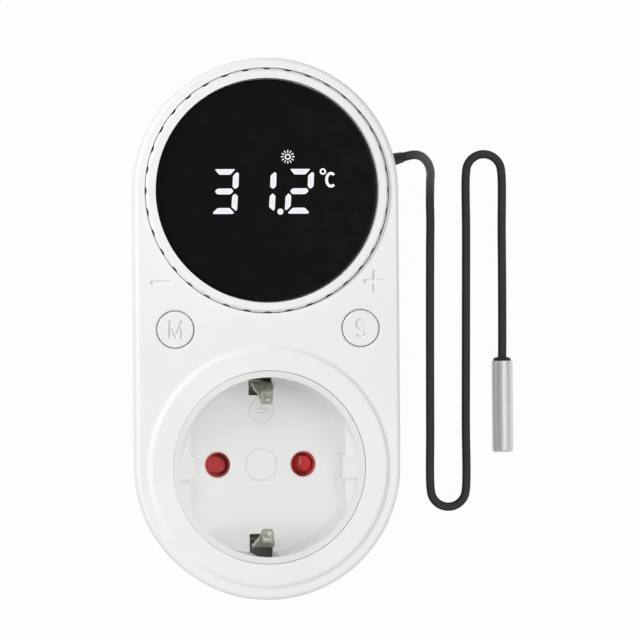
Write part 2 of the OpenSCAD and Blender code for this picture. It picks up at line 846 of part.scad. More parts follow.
module tact_switch() translate([button_x, button_y]) difference() {
    box_at([0, 0], [tact_w, tact_w, tact_h], z_display_top);
    disc(tact_plunger_r + run_fit, z_display_top + tact_h - tact_well,
        z_display_top + tact_h + over);
}

module tact_switch_m() color("black") mirror([1, 0, 0]) tact_switch();
module tact_switch_s() color("black") tact_switch();

module tact_plunger() translate([button_x, button_y])
    disc(tact_plunger_r, z_display_top + tact_h - tact_well + button_travel + run_fit,
        z_display_top + tact_h + tact_plunger_up);

module tact_plunger_m() color("dimgray") mirror([1, 0, 0]) tact_plunger();
module tact_plunger_s() color("dimgray") tact_plunger();

// Legs under the socket's floor, staked through the shutter's plate
module cup_legs() {
    for (a = [45:90:315]) rotate(a) translate([cup_leg_reach, 0]) children();
}

module socket_key() {
    key_x = pad_x - key_proud;
    intersection() {
        disc(well_r + cup_wall / 2, z_cup + floor_t / 2, z_rim);
        translate([key_x, -key_w / 2, z_cup + floor_t / 2])
            cube([cup_r - key_x, key_w, well_depth - key_drop + floor_t / 2]);
    }
}

module clip_slots() {
    for (side = [1, -1]) scale([1, side, 1])
        translate([-clip_slot_w / 2, well_r - clip_slot_reach, z_cup - over])
            cube([clip_slot_w, clip_slot_reach + cup_wall + over,
                well_depth + floor_t + over - rim_h]);
}

module socket_insert() color("gainsboro") {
    difference() {
        union() {
            disc(cup_r, z_cup, z_rim - cup_drop);
            disc(cup_r + cup_flange_w, z_under - cup_flange_t, z_under);
        }
        disc(well_r, z_rim - pad_drop, z_rim + over);
        intersection() {
            disc(well_r, z_well, z_rim + over);
            translate([-pad_x, -well_r - over, z_well])
                cube([2 * pad_x, 2 * (well_r + over), well_depth]);
        }
        both_sides() translate([pin_pitch / 2, 0]) {
            disc(pin_hole_d / 2, z_cup - over, z_well + over);
            translate([0, 0, z_well - hole_chamfer]) cylinder(r1 = pin_hole_d / 2,
                r2 = pin_hole_d / 2 + 2 * hole_chamfer, h = 2 * hole_chamfer);
        }
        clip_slots();
    }
    both_sides() socket_key();
    disc(pivot_r, z_plate + plate_t / 2, z_cup);
    cup_legs() {
        disc(cup_leg_r, z_plate_top, z_cup);
        disc(stake_r, z_plate, z_plate_top);
        disc(stake_head_r, z_plate - stake_head_t, z_plate);
    }
}

module shutter() color("firebrick") difference() {
    union() {
        translate([0, 0, z_shutter]) linear_extrude(shutter_t) intersection() {
            circle(shutter_r);
            both_sides() polygon([[0, 0],
                2 * shutter_r * [cos(shutter_half), sin(shutter_half)],
                2 * shutter_r * [cos(shutter_half), -sin(shutter_half)]]);
        }
        disc(shutter_hub_r, z_shutter, z_shutter_top);
    }
    disc(pivot_r + run_fit, z_shutter - over, z_shutter_top + over);
    disc(spring_room_r, z_shutter - over, z_shutter + spring_room_h);
    for (side = [1, -1]) translate([side * pin_pitch / 2, 0, z_shutter_top]) difference() {
        disc(shutter_pocket_r, -shutter_pocket_deep, over);
        difference() {
            union() {
                translate([shutter_pad_x, 0]) disc(shutter_pad_r, -shutter_t, 2 * over);
                translate([-2 * shutter_pocket_r, -shutter_pad_r, -shutter_t])
                    cube([2 * shutter_pocket_r + shutter_pad_x, 2 * shutter_pad_r,
                        shutter_t + 2 * over]);
            }
            rotate([side * shutter_pad_tilt, 0, 0])
                translate([-3 * shutter_pocket_r, -3 * shutter_pocket_r, -shutter_pad_drop])
                    cube([6 * shutter_pocket_r, 6 * shutter_pocket_r, 6 * over]);
            if (side == 1) translate([-shutter_ramp_x, 0, -shutter_pad_drop])
                rotate([0, -shutter_ramp_tilt, 0])
                    translate([-3 * shutter_pocket_r, -3 * shutter_pocket_r, 0])
                        cube([3 * shutter_pocket_r, 6 * shutter_pocket_r, 6 * over]);
        }
    }
}

module shutter_spring() color("lightsteelblue") {
    turn_steps = 12;
    z_low = z_plate_top + spring_wire_r + seat_gap;
    rise = 2 * spring_wire_r + seat_gap;
    swept_tube([for (i = [0:turn_steps * spring_turns])
        let (a = 360 * i / turn_steps)
        [spring_r * cos(a), spring_r * sin(a), z_low + rise * i / turn_steps]],
        spring_wire_r, 6);
}

module shutter_plate() color("gainsboro") difference() {
    disc(plate_r, z_plate, z_plate_top);
    both_sides() translate([pin_pitch / 2, 0]) disc(pin_hole_d / 2, z_plate - over, z_plate_top + over);
    disc(pivot_r + seat_gap, z_plate - over, z_plate_top + over);
    cup_legs() disc(stake_r, z_plate - over, z_plate_top + over);
    for (side = [1, -1]) scale([1, side, 1])
        translate([-clip_slot_w / 2, well_r - clip_slot_reach, z_plate - over])
            cube([clip_slot_w, plate_r, plate_t + 2 * over]);
}

// Brass socket contact on the right: a base, two blades, and a tab to the power board
module contact(base_hole_r) translate([pin_pitch / 2, 0]) {
    blade_x = contact_gap / 2;
    difference() {
        box_at([0, 0], [contact_base_w, contact_base_l, contact_t], z_sleeve);
        disc(base_hole_r, z_sleeve - over, z_sleeve + contact_t + over);
    }
    both_sides() translate([blade_x, -blade_w / 2, z_sleeve + contact_t])
        cube([contact_t, blade_w, z_blade_top - z_sleeve - contact_t]);
    translate([blade_x + contact_t, 0, 0]) rotate([90, 0, -90]) mirror([1, 0, 0])
        linear_extrude(contact_t) polygon([
            [blade_w / 2, z_power_top + tab_low], [tab_end - tab_foot, z_power_top + tab_low],
            [tab_end - tab_foot, z_power_top], [tab_end, z_power_top],
            [tab_end, z_power_top + tab_low + tab_h], [blade_w / 2, z_power_top + tab_low + tab_h]]);
}

module live_contact() color("goldenrod") mirror([1, 0, 0]) contact(pin_stub_r);
module neutral_contact() color("goldenrod") contact(pin_stub_r + seat_gap);

// Brass strip from the live pin, up out of the plug's body and on to the power board
module live_link() color("goldenrod") translate([-pin_pitch / 2, 0]) difference() {
    translate([link_w / 2, 0, 0]) rotate([90, 0, -90]) mirror([1, 0, 0])
        linear_extrude(link_w) polygon([
            [-link_w / 2, z_link], [link_rise_y + contact_t, z_link],
            [link_rise_y + contact_t, z_link_top], [tab_end - contact_t, z_link_top],
            [tab_end - contact_t, z_power_top], [tab_end, z_power_top],
            [tab_end, z_link_top + contact_t], [link_rise_y, z_link_top + contact_t],
            [link_rise_y, z_link + contact_t], [-link_w / 2, z_link + contact_t]]);
    disc(pin_stub_r + seat_gap, z_link - over, z_link + contact_t + over);
}

// Bent earth strip: the plug's side strip, the leg through the housing and the socket's clip
module earth_strip() {
    t = strip_t;
    z_nose = z_rim - nose_drop;
    z_bend = z_rim - strip_bend_drop;
    z_end = z_rim - strip_end_drop;
    z_shoulder = z_rim - strip_shoulder_drop;
    intersection() {
        rotate([90, 0, 90]) translate([0, 0, -strip_w / 2]) linear_extrude(strip_w) polygon([
            [strip_y, strip_z0], [strip_y + t, strip_z0], [strip_y + t, z_bend],
            [nose_y + t, z_nose], [strip_end_y + t / 2, z_end - t / 2],
            [strip_end_y, z_end], [nose_y, z_nose + t / 2], [nose_y, z_nose - t / 2],
            [strip_y, z_bend - t / 2]]);
        rotate([90, 0, 0]) translate([0, 0, -strip_y - t - over])
            linear_extrude(strip_y + t + over) polygon([
                [-strip_w / 2, 0], [strip_w / 2, 0], [strip_w / 2, z_shoulder],
                [strip_neck_w / 2, z_nose - 3 * t], [strip_nose_w / 2, z_nose - t],
                [strip_nose_w / 2, z_end + over], [-strip_nose_w / 2, z_end + over],
                [-strip_nose_w / 2, z_nose - t], [-strip_neck_w / 2, z_nose - 3 * t],
                [-strip_w / 2, z_shoulder]]);
    }
}

module earth_strip_top() color("silver") earth_strip();
module earth_strip_bottom() color("silver") mirror([0, 1, 0]) earth_strip();

module earth_bridge() color("silver") {
    rotate([90, 0, 90]) translate([0, 0, -bridge_w / 2]) linear_extrude(bridge_w) polygon([
        [-strip_y, z_bridge], [strip_y, z_bridge], [strip_y, z_bridge + bridge_flap],
        [strip_y - strip_t, z_bridge + bridge_flap], [strip_y - strip_t, z_bridge + strip_t],
        [-strip_y + strip_t, z_bridge + strip_t], [-strip_y + strip_t, z_bridge + bridge_flap],
        [-strip_y, z_bridge + bridge_flap]]);
}

// Plug pin with its rounded tip, the flange that stops it and the stub that takes the strip
module plug_pin(z_stub) translate([pin_pitch / 2, 0]) {
    rotate_extrude() {
        translate([0, z_ground]) square([pin_r - pin_tip_r, pin_tip_r]);
        translate([0, z_ground + pin_tip_r]) square([pin_r, pin_len - pin_tip_r - shank_out]);
        translate([pin_r - pin_tip_r, z_ground + pin_tip_r]) circle(pin_tip_r);
    }
    disc(shank_r, -shank_out, z_sleeve_shelf);
    disc(pin_flange_r, z_sleeve_shelf, z_link);
    disc(pin_stub_r, z_link, z_stub);
}

module plug_pin_live() color("silver") mirror([1, 0, 0])
    plug_pin(z_link + contact_t + stub_proud);
module plug_pin_neutral() color("silver") plug_pin(z_sleeve + contact_t + stub_proud);

module power_board() color("darkgreen") {
    box_at([0, power_y + power_len / 2], [power_w, power_len, board_t], z_power);
}

// A block on the power board at a place from the dial's centre
module board_part(place, plan, high) {
    box_at([place[0], end_gap + place[1]], [plan[0], plan[1], high], z_power_top);
}

module relay() color("royalblue") board_part(relay_place, relay_plan, part_room * relay_share);

module film_capacitor() color("gold")
    board_part(film_place, film_plan, part_room * film_share);

module electrolytic_capacitor() color("midnightblue")
    translate([can_place[0], end_gap + can_place[1]])
        disc(can_r, z_power_top, z_power_top + part_room * can_share);

module varistor() color("steelblue")
    translate([varistor_place[0], end_gap + varistor_place[1], z_power_top]) {
        translate([0, varistor_t / 2, varistor_r + leg_r]) rotate([90, 0, 0])
            cylinder(r = varistor_r, h = varistor_t);
        both_sides() translate([varistor_r / 2, 0]) cylinder(r = leg_r, h = varistor_r);
    }

module fuse() color("saddlebrown") {
    high = part_room * fuse_share;
    board_part(fuse_place, [fuse_plan[0], fuse_plan[1] - 2 * fuse_edge], high);
    board_part(fuse_place, [fuse_plan[0] - 2 * fuse_edge, fuse_plan[1]], high - fuse_edge);
}

module board_header() color("black") board_part(header_place, header_plan, part_room);

// Screws through the dial's retainer and the display board, and those up into the carrier
module board_screws() color("silver") {
    z_head = z_retainer + retainer_t - seat_gap;
    board_posts() difference() {
        union() {
            disc(screw_r, z_display_board - screw_bite, z_retainer + retainer_t - screw_head_h);
            disc(screw_head_r, z_retainer + retainer_t - screw_head_h, z_head);
        }
        cross_slot(screw_head_r, z_head - slot_depth, z_head + over);
    }
    carrier_posts() difference() {
        union() {
            disc(screw_head_r, z_display_board - screw_head_h, z_display_board);
            disc(screw_r, z_display_board, z_display_top + screw_bite - seat_gap);
        }
        cross_slot(screw_head_r, z_display_board - screw_head_h - over,
            z_display_board - screw_head_h + slot_depth);
    }
}

module housing_screws() color("silver") housing_screw_places() difference() {
    union() {
        disc(housing_head_r, z_screw_seat - housing_head_h, z_screw_seat);
        disc(housing_screw_r, z_screw_seat, z_screw_seat + housing_screw_len);
    }
    cross_slot(housing_head_r, z_screw_seat - housing_head_h - over,
        z_screw_seat - housing_head_h + slot_depth);
}

// Rubber gland: a plug in the wall, a flange inside it and a short taper outside
module cable_gland() color("dimgray") gland_place() {
    disc(gland_r, exit_r - wall - gland_flange_back, exit_r);
    disc(gland_flange_r, exit_r - wall - gland_flange_back - gland_flange_t,
        exit_r - wall - gland_flange_back);
    translate([0, 0, exit_r]) cylinder(r1 = gland_r, r2 = gland_tip_r, h = gland_out);
}

module sensor_cord() color("dimgray")
    swept_tube(dense(concat([cord_start], cord_route,
        [probe_top + [0, -probe_mouth, 0]]), ring_gap_max), cord_r, cord_sides);

module probe_place() {
    translate(probe_top) rotate([90, 0, 0]) children();
}

module probe_tube() color("silver") probe_place() difference() {
    rotate_extrude() {
        square([probe_r, probe_len - probe_end_r]);
        square([probe_r - probe_end_r, probe_len]);
        translate([probe_r - probe_end_r, probe_len - probe_end_r]) circle(probe_end_r);
    }
    disc(probe_r - probe_wall, -over, probe_len - probe_wall);
}

module probe_seal() color("black") probe_place()
    disc(probe_r - probe_wall - seat_gap, probe_mouth, probe_len - probe_wall);

front_cover();
rear_shell();
knob_ring();
knob_retainer();
display_lens();
display_carrier();
led_display();
display_board();
control_chip();
encoder_body();
encoder_pinion();
button_m();
button_s();
tact_switch_m();
tact_switch_s();
tact_plunger_m();
tact_plunger_s();
socket_insert();
shutter();
shutter_spring();
shutter_plate();
live_contact();
neutral_contact();
live_link();
earth_strip_top();
earth_strip_bottom();
earth_bridge();
plug_pin_live();
plug_pin_neutral();
power_board();
relay();
film_capacitor();
electrolytic_capacitor();
varistor();
fuse();
board_header();
board_screws();
housing_screws();
cable_gland();
sensor_cord();
probe_tube();
probe_seal();
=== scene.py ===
import math

import bpy
import numpy as np
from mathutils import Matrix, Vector


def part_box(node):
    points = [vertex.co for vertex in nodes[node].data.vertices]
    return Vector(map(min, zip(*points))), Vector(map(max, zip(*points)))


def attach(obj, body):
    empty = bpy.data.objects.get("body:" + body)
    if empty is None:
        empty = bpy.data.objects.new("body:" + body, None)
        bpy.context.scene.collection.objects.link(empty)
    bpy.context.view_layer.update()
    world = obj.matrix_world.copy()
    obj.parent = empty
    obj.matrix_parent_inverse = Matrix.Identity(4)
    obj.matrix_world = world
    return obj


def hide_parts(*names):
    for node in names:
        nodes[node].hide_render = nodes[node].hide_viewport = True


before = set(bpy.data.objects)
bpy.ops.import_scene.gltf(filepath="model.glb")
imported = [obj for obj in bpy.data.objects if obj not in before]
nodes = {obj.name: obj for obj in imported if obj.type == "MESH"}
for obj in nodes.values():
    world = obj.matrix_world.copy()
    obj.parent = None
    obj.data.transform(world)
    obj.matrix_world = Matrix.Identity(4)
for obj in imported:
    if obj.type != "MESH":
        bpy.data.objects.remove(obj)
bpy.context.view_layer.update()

MM = 0.001

# Studio
# A pale table at the level of the pin tips, with soft boxes above, beside and behind the part.
# The camera stands where the photograph was taken from: 0.9 m in front of the face, to the
# left of the housing and a little above the socket.
TABLE_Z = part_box("plug_pin_live")[0].z
TABLE_REACH = 3.0
# The camera's place in mm, its turn in degrees, its focal length in pixels of the picture, and
# how near and far it sees, in metres.
CAMERA_PLACE = (-101.6, 34.4, 955.0)
CAMERA_TURN = (-0.107, -7.151, -0.445)
FOCAL_PIXELS, PICTURE_PIXELS, SENSOR = 4179.9, 640, 36
NEAR, FAR = 0.05, 10


def linear(colour):
    """sRGB hex to linear: c / 12.92 below 0.04045, otherwise ((c + 0.055) / 1.055) ^ 2.4."""
    c = np.array([int(colour[i:i + 2], 16) for i in (1, 3, 5)]) / 255
    c = np.where(c <= 0.04045, c / 12.92, ((c + 0.055) / 1.055) ** 2.4)
    return (*c, 1.0)


def add(material, kind, settings=None, stops=(), **inputs):
    """One node: settings go on the node, stops, each a share and a hex colour, on its colour
    ramp, and inputs on its sockets by name or number; a socket makes a link."""
    node = material.node_tree.nodes.new("ShaderNode" + kind)
    for name, value in (settings or {}).items():
        setattr(node, name, value)
    for number, (share, colour) in enumerate(stops):
        node.color_ramp.elements[number].position = share
        node.color_ramp.elements[number].color = linear(colour)
    for name, value in inputs.items():
        socket = node.inputs[int(name[1:])] if name[0] == "_" else node.inputs[name.replace("_", " ")]
        if isinstance(value, bpy.types.NodeSocket):
            material.node_tree.links.new(value, socket)
        else:
            socket.default_value = value
    return node


def blank(name):
    """A material with no nodes yet."""
    material = bpy.data.materials.new(name)
    material.use_nodes = True
    material.node_tree.nodes.clear()
    return material


def seen_by(material, *kinds):
    """1 for a ray of one of these kinds, and 0 for any other."""
    rays = add(material, "LightPath")
    seen = rays.outputs["Is " + kinds[0] + " Ray"]
    for kind in kinds[1:]:
        either = add(material, "Math", {"operation": "MAXIMUM"},
                     _0=seen, _1=rays.outputs["Is " + kind + " Ray"])
        seen = either.outputs[0]
    return seen


def paper_material():
    """A paper sweep: white where it is seen or mirrored, with a little of the part's shadow,
    and light grey where it throws light back on the part."""
    material = blank("white paper sweep")
    glow_share = 0.97
    seen = add(material, "Math", {"operation": "MULTIPLY"},
               _0=seen_by(material, "Camera", "Glossy", "Transmission"), _1=glow_share)
    matte = add(material, "BsdfDiffuse", Color=linear("#b4b4b4"))
    glow = add(material, "Emission", Color=(1, 1, 1, 1), Strength=1.0)
    sweep = add(material, "MixShader", _0=seen.outputs[0], _1=matte.outputs[0], _2=glow.outputs[0])
    add(material, "OutputMaterial", Surface=sweep.outputs[0])
    return material


def studio_world():
    """White to the camera. It lights the part at an even low strength, and what is mirrored
    gets more of it near the horizon and less of it from above."""
    backdrop, even, horizon, above, above_height = 0.98, 0.47, 0.6, -0.17, 0.8
    world = bpy.data.worlds.new("studio")
    world.use_nodes = True
    world.node_tree.nodes.clear()
    way = add(world, "SeparateXYZ", Vector=add(world, "TexCoord").outputs["Generated"])
    wall = add(world, "MapRange", Value=way.outputs["Z"], From_Min=0.0, From_Max=above_height,
               To_Min=horizon, To_Max=above)
    wall = add(world, "Math", {"operation": "MULTIPLY_ADD"}, _0=wall.outputs[0],
               _1=seen_by(world, "Glossy"), _2=even)
    dim = add(world, "Background", Color=linear("#f4f4f4"), Strength=wall.outputs[0])
    bright = add(world, "Background", Color=(1, 1, 1, 1), Strength=backdrop)
    room = add(world, "MixShader", _0=seen_by(world, "Camera", "Transmission"),
               _1=dim.outputs[0], _2=bright.outputs[0])
    add(world, "OutputWorld", Surface=room.outputs[0])
    return world


camera_data = bpy.data.cameras.new("camera")
camera_data.sensor_width = SENSOR
camera_data.lens = FOCAL_PIXELS / PICTURE_PIXELS * SENSOR
camera_data.clip_start, camera_data.clip_end = NEAR, FAR
camera = bpy.data.objects.new("camera", camera_data)
camera.location = [distance * MM for distance in CAMERA_PLACE]
camera.rotation_euler = [math.radians(angle) for angle in CAMERA_TURN]
bpy.context.scene.collection.objects.link(camera)
bpy.context.scene.camera = camera

table_mesh = bpy.data.meshes.new("table")
corners = [(TABLE_REACH * x, TABLE_REACH * y, TABLE_Z) for x, y in ((-1, -1), (1, -1), (1, 1), (-1, 1))]
table_mesh.from_pydata(corners, [], [(0, 1, 2, 3)])
table_mesh.materials.append(paper_material())
table = bpy.data.objects.new("table", table_mesh)
bpy.context.scene.collection.objects.link(table)
bpy.context.scene.world = studio_world()


def lamp(name, place, target, size, power, mirrored=True):
    """A rectangular soft box at place, in metres, that faces target. The camera doesn't see
    it, and glossy pieces mirror it only where mirrored is true."""
    data = bpy.data.lights.new(name, "AREA")
    data.shape = "RECTANGLE"
    data.size, data.size_y = size
    data.energy = power
    light = bpy.data.objects.new(name, data)
    bpy.context.scene.collection.objects.link(light)
    light.location = place
    light.rotation_mode = "QUATERNION"
    light.rotation_quaternion = (Vector(target) - Vector(place)).to_track_quat("-Z", "Y")
    light.visible_camera = False
    light.visible_glossy = mirrored


# Places that the lamps face, in metres.
BODY, WELL, SHUTTER = (0, 0.03, 0.03), (0, 0, 0.04), (0, 0, 0.035)
lamp("key, left", (-0.64, 0.24, 0.56), (0, 0.03, 0.05), (0.12, 0.12), 4.5, mirrored=False)
lamp("overhead box", (-0.1, 0.1, 1.2), BODY, (0.5, 0.5), 1.3, mirrored=False)
lamp("right box", (0.46, 0.0, 0.9), BODY, (0.34, 0.6), 1.1)
lamp("top box, well", (-0.1, 0.5, 0.95), BODY, (0.4, 0.4), 1.55)
lamp("left box, well", (-0.6, 0.0, 0.6), WELL, (0.4, 0.4), 2.1)
lamp("low box, right", (0.7, -0.6, 0.16), BODY, (0.4, 0.3), 2.0, mirrored=False)
lamp("low box, well", (-0.8, 0.0, 0.17), WELL, (0.2, 0.2), 0.85)
for end, side in (("top", 1), ("bottom", -1)):
    lamp("box behind the " + end + " clip", (0, 0.5 * side, 0.2), (0, 0.017 * side, 0.045),
         (0.1, 0.1), 0.7)
lamp("left box, shutter", (-0.58, -0.08, 0.72), SHUTTER, (0.2, 0.2), 4.4)
lamp("right box, shutter", (0.42, 0.1, 0.8), SHUTTER, (0.2, 0.2), 2.6)
lamp("box over the probe", (0.04, 0.0, 1.15), (0.11, 0.0, -0.016), (0.55, 0.6), 1.0)

bpy.context.scene.view_settings.view_transform = "Standard"

# Sensor lead
# A limp two-core lead, 2 mm thick, with a black PVC jacket. It leaves a rubber gland on
# the right side, drops to the table and lies there in two long loops; its end is potted
# into a stainless steel sleeve that holds the sensor bead.
LEAD_D = 2 * MM
LEAD_SIDES = 24
LEAD_STEP = 0.7 * MM
# The middle of the lying stretches is at this height, and the loops turn round two places.
LEAD_Z = -18.0
LOOP_R, LOOP_POINTS, LOOP_LOW, LOOP_HIGH = 4.2, 8, (50.6, -8.4), (59.6, 66.2)


def unit(v):
    """Vectors along the last axis, each over its own length."""
    return v / np.linalg.norm(v, axis=-1, keepdims=True)


def arc(centre, radius, start, end, count):
    """Points of a circle, or of an ellipse where radius is a pair, from the start angle to the
    end angle in degrees: centre + radius (cos a, sin a)."""
    a = np.radians(np.linspace(start, end, count))
    return np.array(centre) + np.array(radius) * np.stack([np.cos(a), np.sin(a)], -1)


def at_height(points, z):
    """These (x, y) points, all at the height z."""
    return np.column_stack([points, np.full(len(points), z)])


def mesh_piece(name, points, faces, body, material, smooth=True):
    """A mesh of these points, in metres, that rides on a body."""
    mesh = bpy.data.meshes.new(name)
    mesh.from_pydata(np.asarray(points, float).tolist(), [], [list(map(int, f)) for f in faces])
    mesh.validate()
    mesh.polygons.foreach_set("use_smooth", [smooth] * len(mesh.polygons))
    piece = bpy.data.objects.new(name, mesh)
    bpy.context.scene.collection.objects.link(piece)
    mesh.materials.append(material)
    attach(piece, body)
    return piece


def grid_faces(rows, columns, round_rows=False, round_columns=False):
    """Quads of a rows by columns grid; a round direction joins its last line to its first."""
    i = np.arange(rows if round_rows else rows - 1)[:, None]
    j = np.arange(columns if round_columns else columns - 1)[None, :]
    i2, j2 = (i + 1) % rows, (j + 1) % columns
    quads = [i * columns + j, i * columns + j2, i2 * columns + j2, i2 * columns + j]
    return np.stack(quads, -1).reshape(-1, 4)


def tube_faces(rings, sides, start=0):
    """The quads round a tube of this many rings, and one face over each of its ends. Its
    first point is number start."""
    number = start + np.arange(rings * sides).reshape(rings, sides)
    quads = start + grid_faces(rings, sides, round_columns=True)
    return quads.tolist() + [number[0, ::-1].tolist(), number[-1].tolist()]


def on_span(t, t_a, t_b, a, b):
    """The straight blend of a at t_a into b at t_b."""
    return (t_b - t) / (t_b - t_a) * a + (t - t_a) / (t_b - t_a) * b


def smooth_route(points, step, fine=24):
    """Centripetal Catmull-Rom curve through the points: the knots lie apart by the square root
    of the distance. It has so many fine steps a span, and is then spaced evenly by step.
    Returns the curve and its length."""
    p = np.array(points, float)
    p = np.vstack([2 * p[0] - p[1], p, 2 * p[-1] - p[-2]])
    out = []
    for a, b, c, d in zip(p[:-3], p[1:-2], p[2:-1], p[3:]):
        t0 = 0.0
        t1 = t0 + np.linalg.norm(b - a) ** 0.5
        t2 = t1 + np.linalg.norm(c - b) ** 0.5
        t3 = t2 + np.linalg.norm(d - c) ** 0.5
        t = np.linspace(t1, t2, fine, endpoint=False)[:, None]
        a1 = on_span(t, t0, t1, a, b)
        a2 = on_span(t, t1, t2, b, c)
        a3 = on_span(t, t2, t3, c, d)
        b1 = on_span(t, t0, t2, a1, a2)
        b2 = on_span(t, t1, t3, a2, a3)
        out.append(on_span(t, t1, t2, b1, b2))
    line = np.vstack(out + [p[-2][None]])
    along = np.concatenate([[0], np.cumsum(np.linalg.norm(np.diff(line, axis=0), axis=1))])
    even = np.linspace(0, along[-1], int(along[-1] / step) + 1)
    return np.stack([np.interp(even, along, line[:, k]) for k in range(3)], -1), along[-1]


def tube(line, radius, sides):
    """Circles of this radius square to the line, carried along it without twist: the points,
    and the direction of each from the line."""
    way = unit(np.gradient(line, axis=0))
    side = [unit(np.array([0.0, 0, 1]) - way[0] * way[0][2])]
    for w in way[1:]:
        side.append(unit(side[-1] - w * (side[-1] @ w)))
    side = np.array(side)
    other = np.cross(way, side)
    a = np.linspace(0, 2 * np.pi, sides, endpoint=False)
    ring = np.cos(a)[None, :, None] * side[:, None] + np.sin(a)[None, :, None] * other[:, None]
    return (line[:, None] + radius * ring).reshape(-1, 3), ring.reshape(-1, 3)


def jacket_material():
    """PVC cord jacket, extruded and matt. The attribute "upper" is the height of a point round
    the jacket, from -1 below to 1 above: the upper two thirds of its width are painted a dark grey
    and the flanks near black, a painted shade of light from above, with grain noise in the tone."""
    material = blank("extruded PVC jacket, dark grey")
    grain_size, grain_depth, grain_share = 0.6 * MM, 0.02 * MM, 0.12
    place = add(material, "TexCoord").outputs["Object"]
    grain = add(material, "TexNoise", Vector=place, Scale=1 / grain_size, Detail=3.0)
    # Painted shade: the jacket's top is lighter and its flanks near black, as light from above falls; grain
    # noise varies the tone a little.
    painted_shade = add(material, "Math", {"operation": "MULTIPLY_ADD"}, _0=grain.outputs["Fac"], _1=grain_share,
               _2=add(material, "Attribute", {"attribute_name": "upper"}).outputs["Fac"])
    tone = add(material, "ValToRGB", stops=((0.74, "#0c0c0d"), (0.88, "#424243")), Fac=painted_shade.outputs[0])
    bump = add(material, "Bump", Strength=0.15, Distance=grain_depth, Height=grain.outputs["Fac"])
    skin = add(material, "BsdfPrincipled", Base_Color=tone.outputs[0], Roughness=0.62,
               IOR=1.5, Specular_IOR_Level=0.25, Normal=bump.outputs[0])
    add(material, "OutputMaterial", Surface=skin.outputs[0])
    return material


route = np.vstack([
    [[32.65, 67.84, 34], [34.5, 68.3, 33.1], [36.2, 68.5, 30.8], [38.1, 68.3, 26.3],
     [40, 67.8, 19.7], [41.8, 67.1, 12.3], [43.3, 66.3, 4.8], [44.6, 65.4, -2.6],
     [45.5, 64, -9.1], [46.2, 61.8, -14.1], [46.6, 58.8, -17], [46.8, 55.4, LEAD_Z],
     [46.7, 48, LEAD_Z], [46.5, 24, LEAD_Z], [46.4, 6, LEAD_Z]],
    at_height(arc(LOOP_LOW, LOOP_R, 180, 360, LOOP_POINTS), LEAD_Z),
    [[54.9, 8, LEAD_Z], [55.1, 30, LEAD_Z], [55.3, 52, LEAD_Z]],
    at_height(arc(LOOP_HIGH, LOOP_R, 180, 0, LOOP_POINTS), LEAD_Z),
    [[63.8, 52, LEAD_Z], [63.8, 38, LEAD_Z], [63.7, 31, LEAD_Z + 0.4],
     [63.5, 25, LEAD_Z + 1.3], [63.4, 21.4, -16.5]]]) * MM
line, lead_length = smooth_route(route, LEAD_STEP)
line[:, 2] = np.maximum(line[:, 2], LEAD_Z * MM)
points, ring = tube(line, LEAD_D / 2, LEAD_SIDES)
lead = mesh_piece("sensor_lead", points, tube_faces(len(line), LEAD_SIDES), "housing",
                  jacket_material())
# The attribute "upper" sets the jacket's painted shade: 1 on top of the lead, -1 underneath.
way = unit(np.gradient(line, axis=0))
above = np.repeat(unit(np.array([0.0, 0, 1]) - way * way[:, 2:]), LEAD_SIDES, axis=0)
lead.data.attributes.new("upper", "FLOAT", "POINT").data.foreach_set("value", (ring * above).sum(1))
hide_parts("sensor_cord")


def dress(material, *names):
    """These CAD nodes take this material."""
    for name in names:
        nodes[name].data.materials.clear()
        nodes[name].data.materials.append(material)


# Nearly all of a noise's values lie between these.
NOISE_LOW, NOISE_HIGH = 0.3, 0.7


def moulded(name, dark, light, rough, skin=0.45, depth=0.006, ior=1.46):
    """Injection-moulded plastic. Its tone drifts between two colours over 22 mm, and the
    tool's eroded skin is noise of this grain and depth in mm, drawn coarser than the real
    0.1 mm so that it shows. Its roughness goes 0.05 to each side of rough."""
    material = blank(name)
    drift_size, rough_spread = 22 * MM, 0.05
    place = add(material, "TexCoord").outputs["Object"]
    drift = add(material, "TexNoise", Vector=place, Scale=1 / drift_size, Detail=2.0)
    tone = add(material, "ValToRGB", stops=((0.38, dark), (0.62, light)), Fac=drift.outputs["Fac"])
    grain = add(material, "TexNoise", Vector=place, Scale=1 / (skin * MM), Detail=3.0)
    shine = add(material, "MapRange", Value=grain.outputs["Fac"], From_Min=NOISE_LOW,
                From_Max=NOISE_HIGH, To_Min=rough - rough_spread, To_Max=rough + rough_spread)
    bump = add(material, "Bump", Strength=0.5, Distance=depth * MM, Height=grain.outputs["Fac"])
    plastic = add(material, "BsdfPrincipled", Base_Color=tone.outputs[0],
                  Roughness=shine.outputs[0], IOR=ior, Normal=bump.outputs[0])
    add(material, "OutputMaterial", Surface=plastic.outputs[0])
    return material


def metal(name, dark, light, rough, marks, depth=0.004, bare=1.0):
    """Bare or plated metal, or with bare under 1 a dulled one. Its rolling, drawing or turning
    marks are noise that repeats after marks = (x, y, z) mm, so that the longest of the three
    runs along the marks. Its roughness goes a quarter to each side of rough."""
    material = blank(name)
    rough_share = 0.25
    place = add(material, "TexCoord").outputs["Object"]
    laid = add(material, "Mapping", Vector=place, Scale=[1 / (m * MM) for m in marks])
    lines = add(material, "TexNoise", Vector=laid.outputs[0], Scale=1.0, Detail=4.0)
    tone = add(material, "ValToRGB", stops=((0.35, dark), (0.65, light)), Fac=lines.outputs["Fac"])
    shine = add(material, "MapRange", Value=lines.outputs["Fac"], From_Min=NOISE_LOW,
                From_Max=NOISE_HIGH, To_Min=rough * (1 - rough_share), To_Max=rough * (1 + rough_share))
    bump = add(material, "Bump", Strength=0.4, Distance=depth * MM, Height=lines.outputs["Fac"])
    skin = add(material, "BsdfPrincipled", Base_Color=tone.outputs[0], Metallic=bare,
               Roughness=shine.outputs[0], Normal=bump.outputs[0])
    add(material, "OutputMaterial", Surface=skin.outputs[0])
    return material


